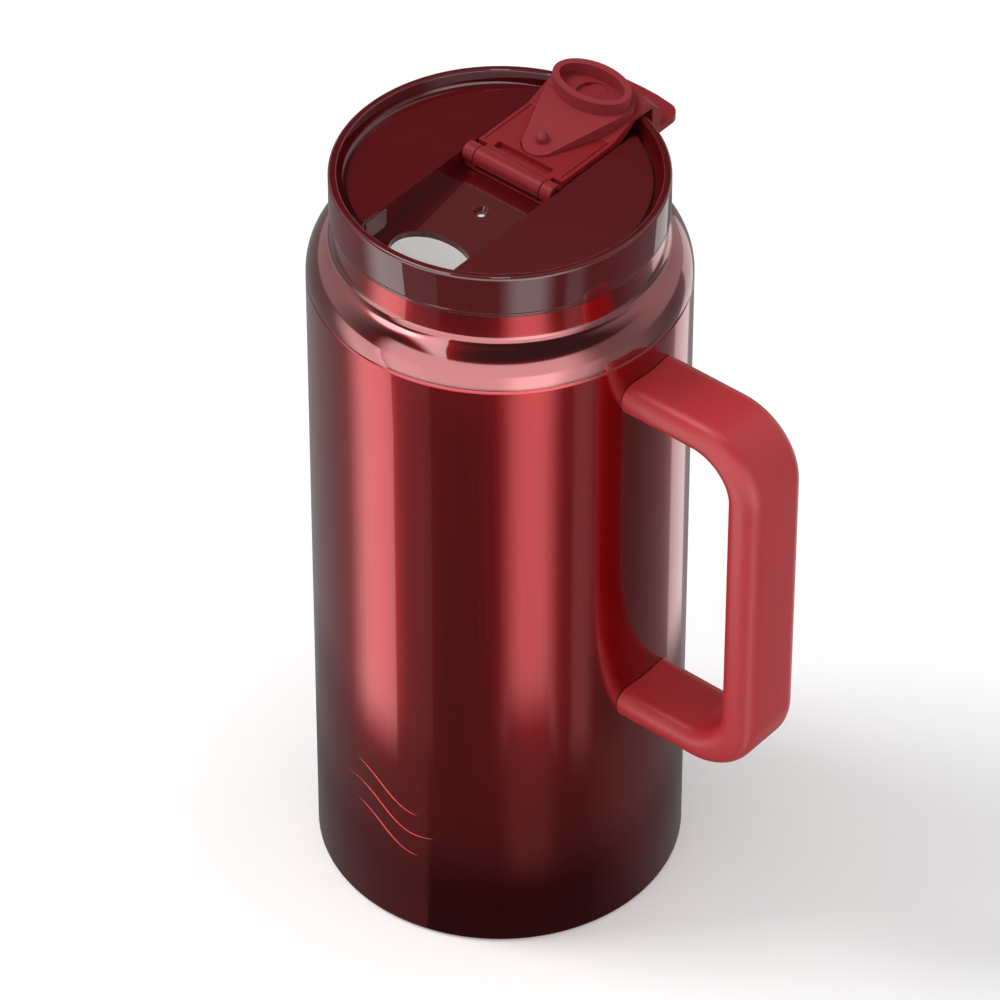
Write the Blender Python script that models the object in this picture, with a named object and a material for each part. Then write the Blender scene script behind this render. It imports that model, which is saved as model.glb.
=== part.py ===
"""Insulated travel mug: vacuum body, side handle, screw lid and flip cap.

Frame: origin at the middle of the base, on the plane the mug stands on.
+Z is up, +X points to the handle, +Y runs along the lid channel, from the sip
hole towards the tab of the open cap. The cap is modelled open, as it rests.
"""
from math import cos, pi, radians, sin, sqrt

import bmesh
import bpy
from mathutils.geometry import convex_hull_2d

MM = 0.001
GAP = 0.3 * MM              # running or fitting gap between neighbouring pieces
SEGMENTS = 48               # facets of every large turned piece
SMALL_SEGMENTS = 20         # facets of screws, seals and their holes

# Body
BODY_RADIUS = 54.0 * MM
SHELL_WALL = 1.0 * MM
SHOULDER_BOTTOM = 210.0 * MM
SHOULDER_DEPTH = 11.0 * MM  # half axes of the shoulder's ellipse
SHOULDER_HEIGHT = 12.5 * MM
SHOULDER_START = 3          # degrees along the ellipse, from the wall
SHOULDER_END = 62
NECK_FILLET = 3.0 * MM
NECK_LEAN = 58.8            # degrees turned by the fillet between shoulder and neck
NECK_RADIUS = 46.7 * MM
LIP_TOP = 230.4 * MM
LIP_THICKNESS = 0.9 * MM
FOOT_RING_INNER = 50.4 * MM
FOOT_RING_WALL = 0.9 * MM
EDGE_RADIUS = 1.6 * MM
LINER_RADIUS = 48.7 * MM
LINER_FLOOR = 8.0 * MM
LINER_BOTTOM_RADIUS = 40.0 * MM
LINER_SHOULDER = 206.0 * MM
BASE_PLATE_BOTTOM = 2.6 * MM
EVACUATION_HOLE = 2.4 * MM  # radius
MOUTH_RADIUS = 44.4 * MM

# Handle
HANDLE_WIDTH = 22.8 * MM
HANDLE_TOP = 201.5 * MM
HANDLE_BOTTOM = 78.0 * MM
HANDLE_REACH = 100.0 * MM
ARM_THICKNESS = 10.5 * MM
GRIP_THICKNESS = 11.5 * MM
HANDLE_OUTER_CORNER = 21.0 * MM
HANDLE_INNER_CORNER = 12.0 * MM
HANDLE_EDGE = 4.6 * MM
STRAP_THICKNESS = 2.4 * MM
STRAP_WIDTH = 13.0 * MM
BRACKET_END = 66.0 * MM
SCREW_X = 60.0 * MM
SCREW_HEAD = 3.0 * MM       # radii
SCREW_SHANK = 1.5 * MM
ARMS = (("upper", HANDLE_TOP - ARM_THICKNESS), ("lower", HANDLE_BOTTOM))

# Lid
LID_RADIUS = 47.3 * MM
LID_TOP = 244.2 * MM
SKIRT_BOTTOM = LIP_TOP + GAP
RIM_INNER = 44.85 * MM
DECK_TOP = 240.8 * MM
DECK_RADIUS = 42.1 * MM
DECK_THICKNESS = 2.4 * MM
GROOVE_FLOOR = 239.2 * MM
SEAT_BOTTOM = 232.8 * MM
SLEEVE_OUTER = 43.2 * MM
SLEEVE_INNER = 41.4 * MM
SLEEVE_BOTTOM = 217.6 * MM
CHANNEL_HALF = 16.0 * MM
CHANNEL_WALL = 1.6 * MM
CHANNEL_END = 39.4 * MM
FLOOR_LEVEL = 235.2 * MM    # channel floor below the hinge axis, at y = 0
FLOOR_SLOPE = 0.122         # rise per metre towards +Y
FLOOR_THICKNESS = 2.0 * MM
BACK_FLOOR = 235.8 * MM
GASKET_INNER = 43.9 * MM
GASKET_OUTER = 45.5 * MM
SNAP_LUG_FRONT = -37.5 * MM
SNAP_LUG_BACK = -29.5 * MM
SNAP_LUG_BOTTOM = 234.6 * MM
VENT_RADIUS = 1.3 * MM
VENT_SINK = 3.4 * MM        # radius of the countersink

# Reach of the helpers that cut and trim, past every surface they work on
FAR_X = 20.0 * MM
BELOW_LID = 222.0 * MM
ABOVE_CAP = 260.0 * MM
OVAL_STEPS = 31

# Screw thread: two starts, right-handed
THREAD_LEAD = 6.0 * MM
THREAD_STARTS = 2
THREAD_TURN = radians(216)
THREAD_PHASE = radians(2)   # keeps the ridges' corners off the walls' facet edges
THREAD_STEPS = 20
THREAD_ROOT = 0.9 * MM      # half width at the wall
THREAD_CREST = 0.4 * MM     # half width at the crest
FEMALE_CREST = 43.6 * MM
MALE_CREST = 44.0 * MM
FEMALE_START = 223.7 * MM
MALE_START = FEMALE_START - THREAD_LEAD / 4

# Flip cap hinge and cap, open
HINGE_Y = 5.0 * MM
HINGE_Z = 240.3 * MM
BARREL_RADIUS = 2.9 * MM
BARREL_HALF = 11.6 * MM
LUG_END = 15.6 * MM
PIN_RADIUS = 1.2 * MM
CAP_HALF = 15.0 * MM
PLATE_TOP = 242.3 * MM
PLATE_BOTTOM = 239.6 * MM
CREST_Y = 47.2 * MM
CREST_Z = 248.2 * MM
RAMP_START = 30.0 * MM
RISER_INNER = 47.9 * MM
RISER_RADIUS = 44.3 * MM
CREST_RADIUS = 39.1 * MM    # keeps the crest's ends clear of the channel's front when closed
CREST_TRIM_HIGH = 247.33 * MM
CREST_TRIM_LOW = 241.73 * MM
PADDLE_TOP = 236.1 * MM
PADDLE_BOTTOM = 233.8 * MM
PADDLE_END = 62.2 * MM

# Seal carried by the cap
SIP_HALF_X = 13.2 * MM
SIP_HALF_Y = 8.4 * MM
PLUG_HALF_X = 12.8 * MM
PLUG_HALF_Y = 7.5 * MM
PLUG_WALL = 2.0 * MM
PLUG_Y = 39.6 * MM
PLUG_FOOT = 246.6 * MM
PAD_START = 9.0 * MM
PLUG_TOP = 251.3 * MM
PLUG_SLOPE = 0.10
PAD_SLOPE = 0.181
NUB_Y = 18.0 * MM
NUB_RADIUS = 2.0 * MM
NUB_TOP = 246.6 * MM
PAD_AT_NUB = 243.6 * MM
POCKET_DEPTH = 1.2 * MM     # the pad's hinge end sits in a pocket in the plate
POCKET_END = 29.0 * MM


def clear_scene():
    for old in list(bpy.data.objects):
        bpy.data.objects.remove(old, do_unlink=True)


def make_material(name, colour, roughness, metallic=0.0, transmission=0.0):
    mat = bpy.data.materials.new(name)
    mat.use_nodes = True
    shader = mat.node_tree.nodes["Principled BSDF"]
    shader.inputs["Base Color"].default_value = (*colour, 1.0)
    shader.inputs["Roughness"].default_value = roughness
    shader.inputs["Metallic"].default_value = metallic
    shader.inputs["Transmission Weight"].default_value = transmission
    mat.diffuse_color = (*colour, 1.0)
    return mat


def add_object(name, bm, mat=None):
    """Make an object from a bmesh, with its faces pointing out."""
    bmesh.ops.recalc_face_normals(bm, faces=bm.faces)
    mesh = bpy.data.meshes.new(name)
    bm.to_mesh(mesh)
    bm.free()
    mesh.shade_smooth()
    mesh.set_sharp_from_angle(angle=radians(30))
    if mat:
        mesh.materials.append(mat)
    obj = bpy.data.objects.new(name, mesh)
    bpy.context.scene.collection.objects.link(obj)
    return obj


def arc(cx, cy, rx, ry, start, stop, steps):
    """Points on an ellipse's arc; the angles are in degrees."""
    points = []
    for i in range(steps + 1):
        a = radians(start + (stop - start) * i / steps)
        points.append((cx + rx * cos(a), cy + ry * sin(a)))
    return points


def turned(profile, segments=SEGMENTS):
    """Spin a closed outline of (radius, height) points about Z."""
    bm = bmesh.new()
    verts = [bm.verts.new((r, 0, z)) for r, z in profile]
    edges = []
    for a, b in zip(verts, verts[1:] + verts[:1]):
        if a.co.x > 0 or b.co.x > 0:
            edges.append(bm.edges.new((a, b)))
    bmesh.ops.spin(bm, geom=verts + edges, cent=(0, 0, 0), axis=(0, 0, 1), dvec=(0, 0, 0),
                   angle=2 * pi, steps=segments, use_merge=True)
    bmesh.ops.remove_doubles(bm, verts=bm.verts, dist=0.001 * MM)
    return bm


def prism(outline, axis, start, stop):
    """Extrude a closed outline along X (points y, z), Y (points x, z) or Z (points x, y)."""
    place = {
        "X": lambda p, t: (t, p[0], p[1]),
        "Y": lambda p, t: (p[0], t, p[1]),
        "Z": lambda p, t: (p[0], p[1], t),
    }[axis]
    bm = bmesh.new()
    low = [bm.verts.new(place(p, start)) for p in outline]
    high = [bm.verts.new(place(p, stop)) for p in outline]
    bm.faces.new(low)
    bm.faces.new(high)
    for i in range(len(outline)):
        j = (i + 1) % len(outline)
        bm.faces.new((low[i], low[j], high[j], high[i]))
    return bm


def block(x0, x1, y0, y1, z0, z1):
    return prism([(x0, y0), (x1, y0), (x1, y1), (x0, y1)], "Z", z0, z1)


def rod(axis, centre, radius, start, stop, segments=24):
    return prism(arc(*centre, radius, radius, 0, 360 * (1 - 1 / segments), segments - 1),
                 axis, start, stop)


def use_as_helper(target, helper, operation):
    """Cut, join or intersect a target with a helper object, which stays out of the model."""
    helper.hide_render = True
    helper.display_type = "WIRE"
    helper.hide_set(True)
    modifier = target.modifiers.new(helper.name, "BOOLEAN")
    modifier.operation = operation
    modifier.solver = "EXACT"
    modifier.object = helper


def combine(target, bm, operation, name):
    use_as_helper(target, add_object(name, bm), operation)


def cut(target, bm, name):
    combine(target, bm, "DIFFERENCE", name)


def join(target, bm, name):
    combine(target, bm, "UNION", name)


def keep(target, bm, name):
    combine(target, bm, "INTERSECT", name)


def join_rings(bm, rings):
    """Skin a row of sections of equal length and close both ends."""
    count = len(rings[0])
    for a, b in zip(rings, rings[1:]):
        for k in range(count):
            bm.faces.new((a[k], a[(k + 1) % count], b[(k + 1) % count], b[k]))
    bm.faces.new(rings[0])
    bm.faces.new(rings[-1])


def thread_ridge(wall, crest, start_z, start_angle):
    """One helical ridge, from a little inside its wall out to the crest."""
    section = [(wall, -THREAD_ROOT), (crest, -THREAD_CREST), (crest, THREAD_CREST), (wall, THREAD_ROOT)]
    bm = bmesh.new()
    rings = []
    for i in range(THREAD_STEPS + 1):
        turn = THREAD_TURN * i / THREAD_STEPS
        a = start_angle + turn
        z = start_z + THREAD_LEAD * turn / (2 * pi)
        rings.append([bm.verts.new((r * cos(a), r * sin(a), z + dz)) for r, dz in section])
    join_rings(bm, rings)
    return bm


def add_threads(target, wall, crest, start_z, name):
    for k in range(THREAD_STARTS):
        angle = 2 * pi * k / THREAD_STARTS + THREAD_PHASE
        join(target, thread_ridge(wall, crest, start_z, angle), f"{name}_{k + 1}")


# ---- body ---------------------------------------------------------------------------------


def shoulder(inset):
    """From the neck down to the straight wall, moved inwards by the inset."""
    rx, ry = SHOULDER_DEPTH - inset, SHOULDER_HEIGHT - inset
    cx, cz = BODY_RADIUS - SHOULDER_DEPTH, SHOULDER_BOTTOM - 0.4 * MM
    fillet = NECK_FILLET + inset
    end_r = cx + rx * cos(radians(SHOULDER_END))
    end_z = cz + ry * sin(radians(SHOULDER_END))
    centre_r = end_r + fillet * cos(radians(NECK_LEAN))
    neck_z = end_z + fillet * sin(radians(NECK_LEAN))
    concave = arc(centre_r, neck_z, fillet, fillet, 180, 180 + NECK_LEAN, 3)[:-1]
    return concave + arc(cx, cz, rx, ry, SHOULDER_END, SHOULDER_START, 4)


def build_outer_shell(mat):
    edge = BODY_RADIUS - EDGE_RADIUS
    top = LIP_TOP - LIP_THICKNESS - GAP
    foot = arc(edge, EDGE_RADIUS, EDGE_RADIUS, EDGE_RADIUS, 0, -90, 3)
    inner_radius = BODY_RADIUS - SHELL_WALL
    outline = [(NECK_RADIUS, top)] + shoulder(0.0) + foot
    outline += [(FOOT_RING_INNER, 0.0), (FOOT_RING_INNER, FOOT_RING_WALL), (edge, FOOT_RING_WALL),
                (inner_radius, EDGE_RADIUS)]
    outline += list(reversed(shoulder(SHELL_WALL))) + [(NECK_RADIUS - SHELL_WALL, top)]
    return add_object("outer_shell", turned(outline), mat)


def build_outer_base(mat):
    """Dished plate that closes the vacuum wall, with a hole for the vacuum seal."""
    radius = BODY_RADIUS - SHELL_WALL - GAP
    wall, plate = 0.8 * MM, 1.0 * MM
    bottom, top = BASE_PLATE_BOTTOM, BASE_PLATE_BOTTOM + 6.4 * MM
    outline = [(EVACUATION_HOLE, bottom), (radius - 1.2 * MM, bottom), (radius, bottom + 1.2 * MM),
               (radius, top), (radius - wall, top), (radius - wall, bottom + 1.8 * MM),
               (radius - 2 * MM, bottom + plate), (EVACUATION_HOLE, bottom + plate)]
    return add_object("outer_base", turned(outline), mat)


def build_base_cover(mat):
    radius = FOOT_RING_INNER - GAP
    low, high, chamfer = 0.6 * MM, 2.3 * MM, 0.3 * MM
    outline = [(0, high), (radius, high), (radius, low + chamfer), (radius - chamfer, low), (0, low)]
    return add_object("base_cover", turned(outline), mat)


def build_vacuum_seal(mat):
    """Stepped plug: its shank fills the evacuation hole, its head lies on the plate."""
    head, shank = 3.4 * MM, EVACUATION_HOLE - GAP
    low, step, top = BASE_PLATE_BOTTOM + 0.1 * MM, BASE_PLATE_BOTTOM + 1.3 * MM, BASE_PLATE_BOTTOM + 2.1 * MM
    outline = [(0, top), (head, top), (head, step), (shank, step), (shank, low), (0, low)]
    return add_object("vacuum_seal", turned(outline, SMALL_SEGMENTS), mat)


def build_getter(mat):
    """Gas-binding button beside the vacuum seal, on the inside of the plate."""
    low = BASE_PLATE_BOTTOM + 1.3 * MM
    return add_object("getter", rod("Z", (20 * MM, 0), 5 * MM, low, low + 2.4 * MM, SMALL_SEGMENTS), mat)


def build_inner_liner(mat):
    """Cup wall with its rolled lip, open below for the welded bottom, and the female thread."""
    wall, corner = 1.0 * MM, 6.0 * MM
    outer_neck = NECK_RADIUS - SHELL_WALL - GAP
    lip_low, neck_low = LIP_TOP - LIP_THICKNESS, 221.0 * MM
    bend = arc(MOUTH_RADIUS - 0.6 * MM, LINER_SHOULDER, 4.9 * MM, 14.0 * MM, 80, 0, 3)
    outer_bend = arc(MOUTH_RADIUS - 0.6 * MM, LINER_SHOULDER, 5.9 * MM, 15.0 * MM, 0, 74, 3)
    mouth = [(MOUTH_RADIUS, LIP_TOP - 0.5 * MM), (MOUTH_RADIUS + 0.5 * MM, LIP_TOP),
             (NECK_RADIUS - 0.3 * MM, LIP_TOP), (NECK_RADIUS, LIP_TOP - 0.3 * MM), (NECK_RADIUS, lip_low)]
    corner_r, corner_z = LINER_RADIUS - corner, LINER_FLOOR + corner
    inside = [(MOUTH_RADIUS, neck_low)] + bend
    inside += arc(corner_r, corner_z, corner, corner, 0, -90, 2) + [(LINER_BOTTOM_RADIUS, LINER_FLOOR)]
    outside = [(LINER_BOTTOM_RADIUS, LINER_FLOOR - wall)]
    outside += arc(corner_r, corner_z, corner + wall, corner + wall, -90, 0, 2)
    outside += outer_bend + [(outer_neck, neck_low + 0.4 * MM), (outer_neck, lip_low)]
    outline = list(reversed(mouth)) + inside + outside
    liner = add_object("inner_liner", turned(outline), mat)
    add_threads(liner, MOUTH_RADIUS + 0.4 * MM, FEMALE_CREST, FEMALE_START, "neck_thread")
    return liner


def build_liner_bottom(mat):
    """Slightly domed disc, welded into the liner's open end."""
    radius, rise, wall = LINER_BOTTOM_RADIUS - GAP, 0.8 * MM, 1.0 * MM
    outline = [(0, LINER_FLOOR + rise), (radius, LINER_FLOOR), (radius, LINER_FLOOR - wall),
               (0, LINER_FLOOR - wall + rise)]
    return add_object("liner_bottom", turned(outline), mat)


# ---- handle -------------------------------------------------------------------------------


def outer_side(inset_arm, inset_grip, start_x):
    """Outer edge of the C seen from the side, from the top arm round to the low arm."""
    x = HANDLE_REACH - inset_grip
    top, low = HANDLE_TOP - inset_arm, HANDLE_BOTTOM + inset_arm
    r = HANDLE_OUTER_CORNER - inset_grip
    return ([(start_x, top)] + arc(x - r, top - r, r, r, 90, 0, 6)
            + arc(x - r, low + r, r, r, 0, -90, 6) + [(start_x, low)])


def inner_side(inset_arm, inset_grip, start_x, steps):
    """Inner edge of the C, in the same direction as the outer edge."""
    x = HANDLE_REACH - GRIP_THICKNESS + inset_grip
    top, low = HANDLE_TOP - ARM_THICKNESS + inset_arm, HANDLE_BOTTOM + ARM_THICKNESS - inset_arm
    r = HANDLE_INNER_CORNER + inset_grip
    return ([(start_x, top)] + arc(x - r, top - r, r, r, 90, 0, steps)
            + arc(x - r, low + r, r, r, 0, -90, steps) + [(start_x, low)])


def handle_outline(inset_arm, inset_grip, start_x):
    """Side view of the C, moved inwards by the insets."""
    inner = inner_side(inset_arm, inset_grip, start_x, 5)
    return outer_side(inset_arm, inset_grip, start_x) + list(reversed(inner))


def grip_bar():
    """The overmould: a bar of rounded section, swept between the C's two edges."""
    start = BODY_RADIUS - 6 * MM
    corner = [(cos(radians(a)), sin(radians(a))) for a in (0, 30, 60, 90)]
    half = HANDLE_WIDTH / 2
    bm = bmesh.new()
    rings = []
    for (xo, zo), (xi, zi) in zip(outer_side(0, 0, start), inner_side(0, 0, start, 6)):
        depth = sqrt((xo - xi) ** 2 + (zo - zi) ** 2) / 2
        out_x, out_z = (xo - xi) / (2 * depth), (zo - zi) / (2 * depth)
        mid_x, mid_z = (xo + xi) / 2, (zo + zi) / 2
        section = []
        for sy, sd in ((1, 1), (-1, 1), (-1, -1), (1, -1)):
            turn = corner if sy * sd > 0 else list(reversed(corner))
            for c, s in turn:
                y = sy * (half - HANDLE_EDGE + HANDLE_EDGE * c)
                d = sd * (depth - HANDLE_EDGE + HANDLE_EDGE * s)
                section.append(bm.verts.new((mid_x + out_x * d, y, mid_z + out_z * d)))
        rings.append(section)
    join_rings(bm, rings)
    return bm


def build_handle_grip(mat):
    grip = add_object("handle_grip", grip_bar(), mat)
    cut(grip, rod("Z", (0, 0), BODY_RADIUS + GAP, 60 * MM, 215 * MM, SEGMENTS), "body_clearance")
    slot_arm = (ARM_THICKNESS - STRAP_THICKNESS) / 2 - GAP
    slot_grip = (GRIP_THICKNESS - STRAP_THICKNESS) / 2 - GAP
    slot_half = STRAP_WIDTH / 2 + GAP
    slot = handle_outline(slot_arm, slot_grip, 50 * MM)
    cut(grip, prism(slot, "Y", -slot_half, slot_half), "strap_slot")
    for name, arm_low in ARMS:
        cut(grip, rod("Z", (SCREW_X, 0), SCREW_HEAD + GAP, arm_low - MM, arm_low + 2.3 * MM, SMALL_SEGMENTS),
            f"{name}_counterbore")
        cut(grip, rod("Z", (SCREW_X, 0), SCREW_SHANK + GAP, arm_low, arm_low + 5.5 * MM, SMALL_SEGMENTS),
            f"{name}_screw_hole")
    return grip


def build_handle_core(mat):
    """Steel strap inside the overmould, between the two brackets."""
    inset_arm = (ARM_THICKNESS - STRAP_THICKNESS) / 2
    inset_grip = (GRIP_THICKNESS - STRAP_THICKNESS) / 2
    outline = handle_outline(inset_arm, inset_grip, BRACKET_END + GAP)
    return add_object("handle_core", prism(outline, "Y", -STRAP_WIDTH / 2, STRAP_WIDTH / 2), mat)


def build_bracket(name, arm_low, mat):
    """Steel tab welded to the shell inside one arm, tapped for the screw."""
    low = arm_low + (ARM_THICKNESS - STRAP_THICKNESS) / 2
    high = low + STRAP_THICKNESS
    half = STRAP_WIDTH / 2
    tab = add_object(name, block(BODY_RADIUS - 2 * MM, BRACKET_END, -half, half, low, high), mat)
    cut(tab, rod("Z", (0, 0), BODY_RADIUS + GAP, low - MM, high + MM, SEGMENTS), f"{name}_saddle")
    cut(tab, rod("Z", (SCREW_X, 0), SCREW_SHANK + GAP, low - MM, high + MM, SMALL_SEGMENTS), f"{name}_hole")
    return tab


def build_screw(name, arm_low, mat):
    """Pan-head screw with a cross slot, driven from under the arm."""
    head_low = arm_low + 0.3 * MM
    head_high = head_low + 1.7 * MM
    tip = arm_low + (ARM_THICKNESS + STRAP_THICKNESS) / 2
    outline = [(0, tip), (SCREW_SHANK, tip), (SCREW_SHANK, head_high), (SCREW_HEAD, head_high),
               (SCREW_HEAD, head_low + 0.4 * MM), (SCREW_HEAD - 0.5 * MM, head_low), (0, head_low)]
    bm = turned(outline, SMALL_SEGMENTS)
    bmesh.ops.translate(bm, verts=bm.verts, vec=(SCREW_X, 0, 0))
    screw = add_object(name, bm, mat)
    long, short, depth = 1.8 * MM, 0.4 * MM, 0.9 * MM
    for k, (dx, dy) in enumerate(((long, short), (short, long))):
        cut(screw, block(SCREW_X - dx, SCREW_X + dx, -dy, dy, head_low - MM, head_low + depth),
            f"{name}_slot_{k + 1}")
    return screw


# ---- lid ----------------------------------------------------------------------------------


def floor_height(y):
    return FLOOR_LEVEL + FLOOR_SLOPE * y


def floor_outline(drop, top, ends):
    """Side view (y, z) of the space above the channel floor, lowered by the drop."""
    level_y = (BACK_FLOOR - FLOOR_LEVEL) / FLOOR_SLOPE
    return [(-ends, floor_height(-ends) - drop), (level_y, BACK_FLOOR - drop), (ends, BACK_FLOOR - drop),
            (ends, top), (-ends, top)]


def oval(y, half_x, half_y):
    """Closed outline round a point on the middle plane."""
    return arc(0, y, half_x, half_y, 0, 360 * OVAL_STEPS / (OVAL_STEPS + 1), OVAL_STEPS)


def build_lid_gasket(mat):
    """Square ring between the skirt's seat and the steel lip."""
    low, high = SKIRT_BOTTOM, SEAT_BOTTOM - GAP
    outline = [(GASKET_OUTER, high), (GASKET_OUTER, low), (GASKET_INNER, low), (GASKET_INNER, high)]
    return add_object("lid_gasket", turned(outline), mat)


def build_lid_thread_ring(mat):
    """Sleeve with the male thread, below the lid."""
    top, lead_in = SEAT_BOTTOM - GAP, 0.6 * MM
    outline = [(SLEEVE_OUTER, top), (SLEEVE_OUTER, SLEEVE_BOTTOM + lead_in),
               (SLEEVE_OUTER - lead_in, SLEEVE_BOTTOM), (SLEEVE_INNER, SLEEVE_BOTTOM), (SLEEVE_INNER, top)]
    ring = add_object("lid_thread_ring", turned(outline), mat)
    add_threads(ring, SLEEVE_OUTER - 0.4 * MM, MALE_CREST, MALE_START, "lid_thread")
    return ring


def build_lid_shell(mat):
    """Disc with its rim, the open channel across it, sip hole, vent and snap lugs."""
    rim_round = 0.9 * MM
    seat_top = DECK_TOP - DECK_THICKNESS
    rim = arc(LID_RADIUS - rim_round, LID_TOP - rim_round, rim_round, rim_round, 0, 90, 2)
    outline = [(0, DECK_TOP), (0, seat_top), (SLEEVE_INNER - 0.4 * MM, seat_top),
               (SLEEVE_INNER - 0.4 * MM, SEAT_BOTTOM), (45.8 * MM, SEAT_BOTTOM), (45.8 * MM, SKIRT_BOTTOM),
               (LID_RADIUS - 0.5 * MM, SKIRT_BOTTOM), (LID_RADIUS, SKIRT_BOTTOM + 1.2 * MM)]
    outline += rim + [(RIM_INNER + 0.5 * MM, LID_TOP), (RIM_INNER, LID_TOP - 0.5 * MM),
                      (RIM_INNER - 0.3 * MM, DECK_TOP), (RIM_INNER - 1.2 * MM, GROOVE_FLOOR),
                      (DECK_RADIUS + 0.6 * MM, GROOVE_FLOOR), (DECK_RADIUS, DECK_TOP)]
    lid = add_object("lid_shell", turned(outline), mat)

    outer = CHANNEL_HALF + CHANNEL_WALL
    tub_side = floor_outline(FLOOR_THICKNESS, DECK_TOP - 0.6 * MM, DECK_RADIUS)
    tub = add_object("channel_tub", prism(tub_side, "X", -outer, outer))
    keep(tub, rod("Z", (0, 0), SLEEVE_INNER - 0.45 * MM, BELOW_LID, ABOVE_CAP, SEGMENTS), "tub_trim")
    use_as_helper(lid, tub, "UNION")

    space_side = floor_outline(0.0, ABOVE_CAP, LID_RADIUS)
    space = add_object("channel_space", prism(space_side, "X", -CHANNEL_HALF, CHANNEL_HALF))
    rim_r, ramp_low, ramp_high = RIM_INNER - 0.25 * MM, SEAT_BOTTOM + 0.2 * MM, GROOVE_FLOOR - 0.6 * MM
    keep(space, turned([(0, BELOW_LID), (CHANNEL_END, BELOW_LID), (CHANNEL_END, ramp_low),
                        (rim_r, ramp_high), (rim_r, ABOVE_CAP), (0, ABOVE_CAP)]), "channel_trim")
    use_as_helper(lid, space, "DIFFERENCE")

    sip = oval(2 * HINGE_Y - PLUG_Y, SIP_HALF_X, SIP_HALF_Y)
    cut(lid, prism(sip, "Z", BELOW_LID, BACK_FLOOR), "sip_hole")
    vent_y = 2 * HINGE_Y - NUB_Y
    vent_z = floor_height(vent_y)
    vent_low = vent_z - 2 * FLOOR_THICKNESS
    vent = [(0, vent_z + MM), (VENT_SINK, vent_z + MM), (VENT_RADIUS, vent_z - 1.1 * MM),
            (VENT_RADIUS, vent_low), (0, vent_low)]
    bm = turned(vent, 16)
    bmesh.ops.translate(bm, verts=bm.verts, vec=(0, vent_y, 0))
    cut(lid, bm, "vent_hole")
    for side in (-1, 1):
        x0, x1 = sorted((side * (CHANNEL_HALF - 0.5 * MM), side * (CHANNEL_HALF + 0.8 * MM)))
        top, corner = DECK_TOP - 0.5 * MM, 2.0 * MM
        corner_y = SNAP_LUG_BACK - corner
        patch = [(SNAP_LUG_FRONT, SNAP_LUG_BOTTOM), (corner_y, SNAP_LUG_BOTTOM)]
        patch += arc(corner_y, SNAP_LUG_BOTTOM + corner, corner, corner, -60, 0, 2)
        patch += [(SNAP_LUG_BACK, top), (SNAP_LUG_FRONT, top)]
        join(lid, prism(patch, "X", x0, x1), f"snap_lug_{side + 2}")
    return lid


def build_hinge_bracket(mat):
    """Foot on the channel floor with one lug at each end, around the pin."""
    foot_low = floor_height(HINGE_Y) + 0.45 * MM
    foot_high = HINGE_Z - BARREL_RADIUS - 0.4 * MM
    half_y = 2.7 * MM
    bracket = add_object("hinge_bracket", block(-LUG_END, LUG_END, HINGE_Y - half_y, HINGE_Y + half_y,
                                                foot_low, foot_high), mat)
    for side in (-1, 1):
        x0, x1 = sorted((side * (BARREL_HALF + GAP), side * LUG_END))
        join(bracket, rod("X", (HINGE_Y, HINGE_Z), BARREL_RADIUS, x0, x1), f"lug_{side + 2}")
        join(bracket, block(x0, x1, HINGE_Y - half_y, HINGE_Y + half_y, foot_low, HINGE_Z), f"post_{side + 2}")
    cut(bracket, rod("X", (HINGE_Y, HINGE_Z), PIN_RADIUS + GAP, -FAR_X, FAR_X, 16), "pin_bore")
    return bracket


def build_hinge_pin(mat):
    half = LUG_END - 0.2 * MM
    return add_object("hinge_pin", rod("X", (HINGE_Y, HINGE_Z), PIN_RADIUS, -half, half, 16), mat)


# ---- flip cap -----------------------------------------------------------------------------


def ramp_height(y):
    return PLATE_TOP + (CREST_Z - PLATE_TOP) * (y - RAMP_START) / (CREST_Y - RAMP_START)


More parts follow.
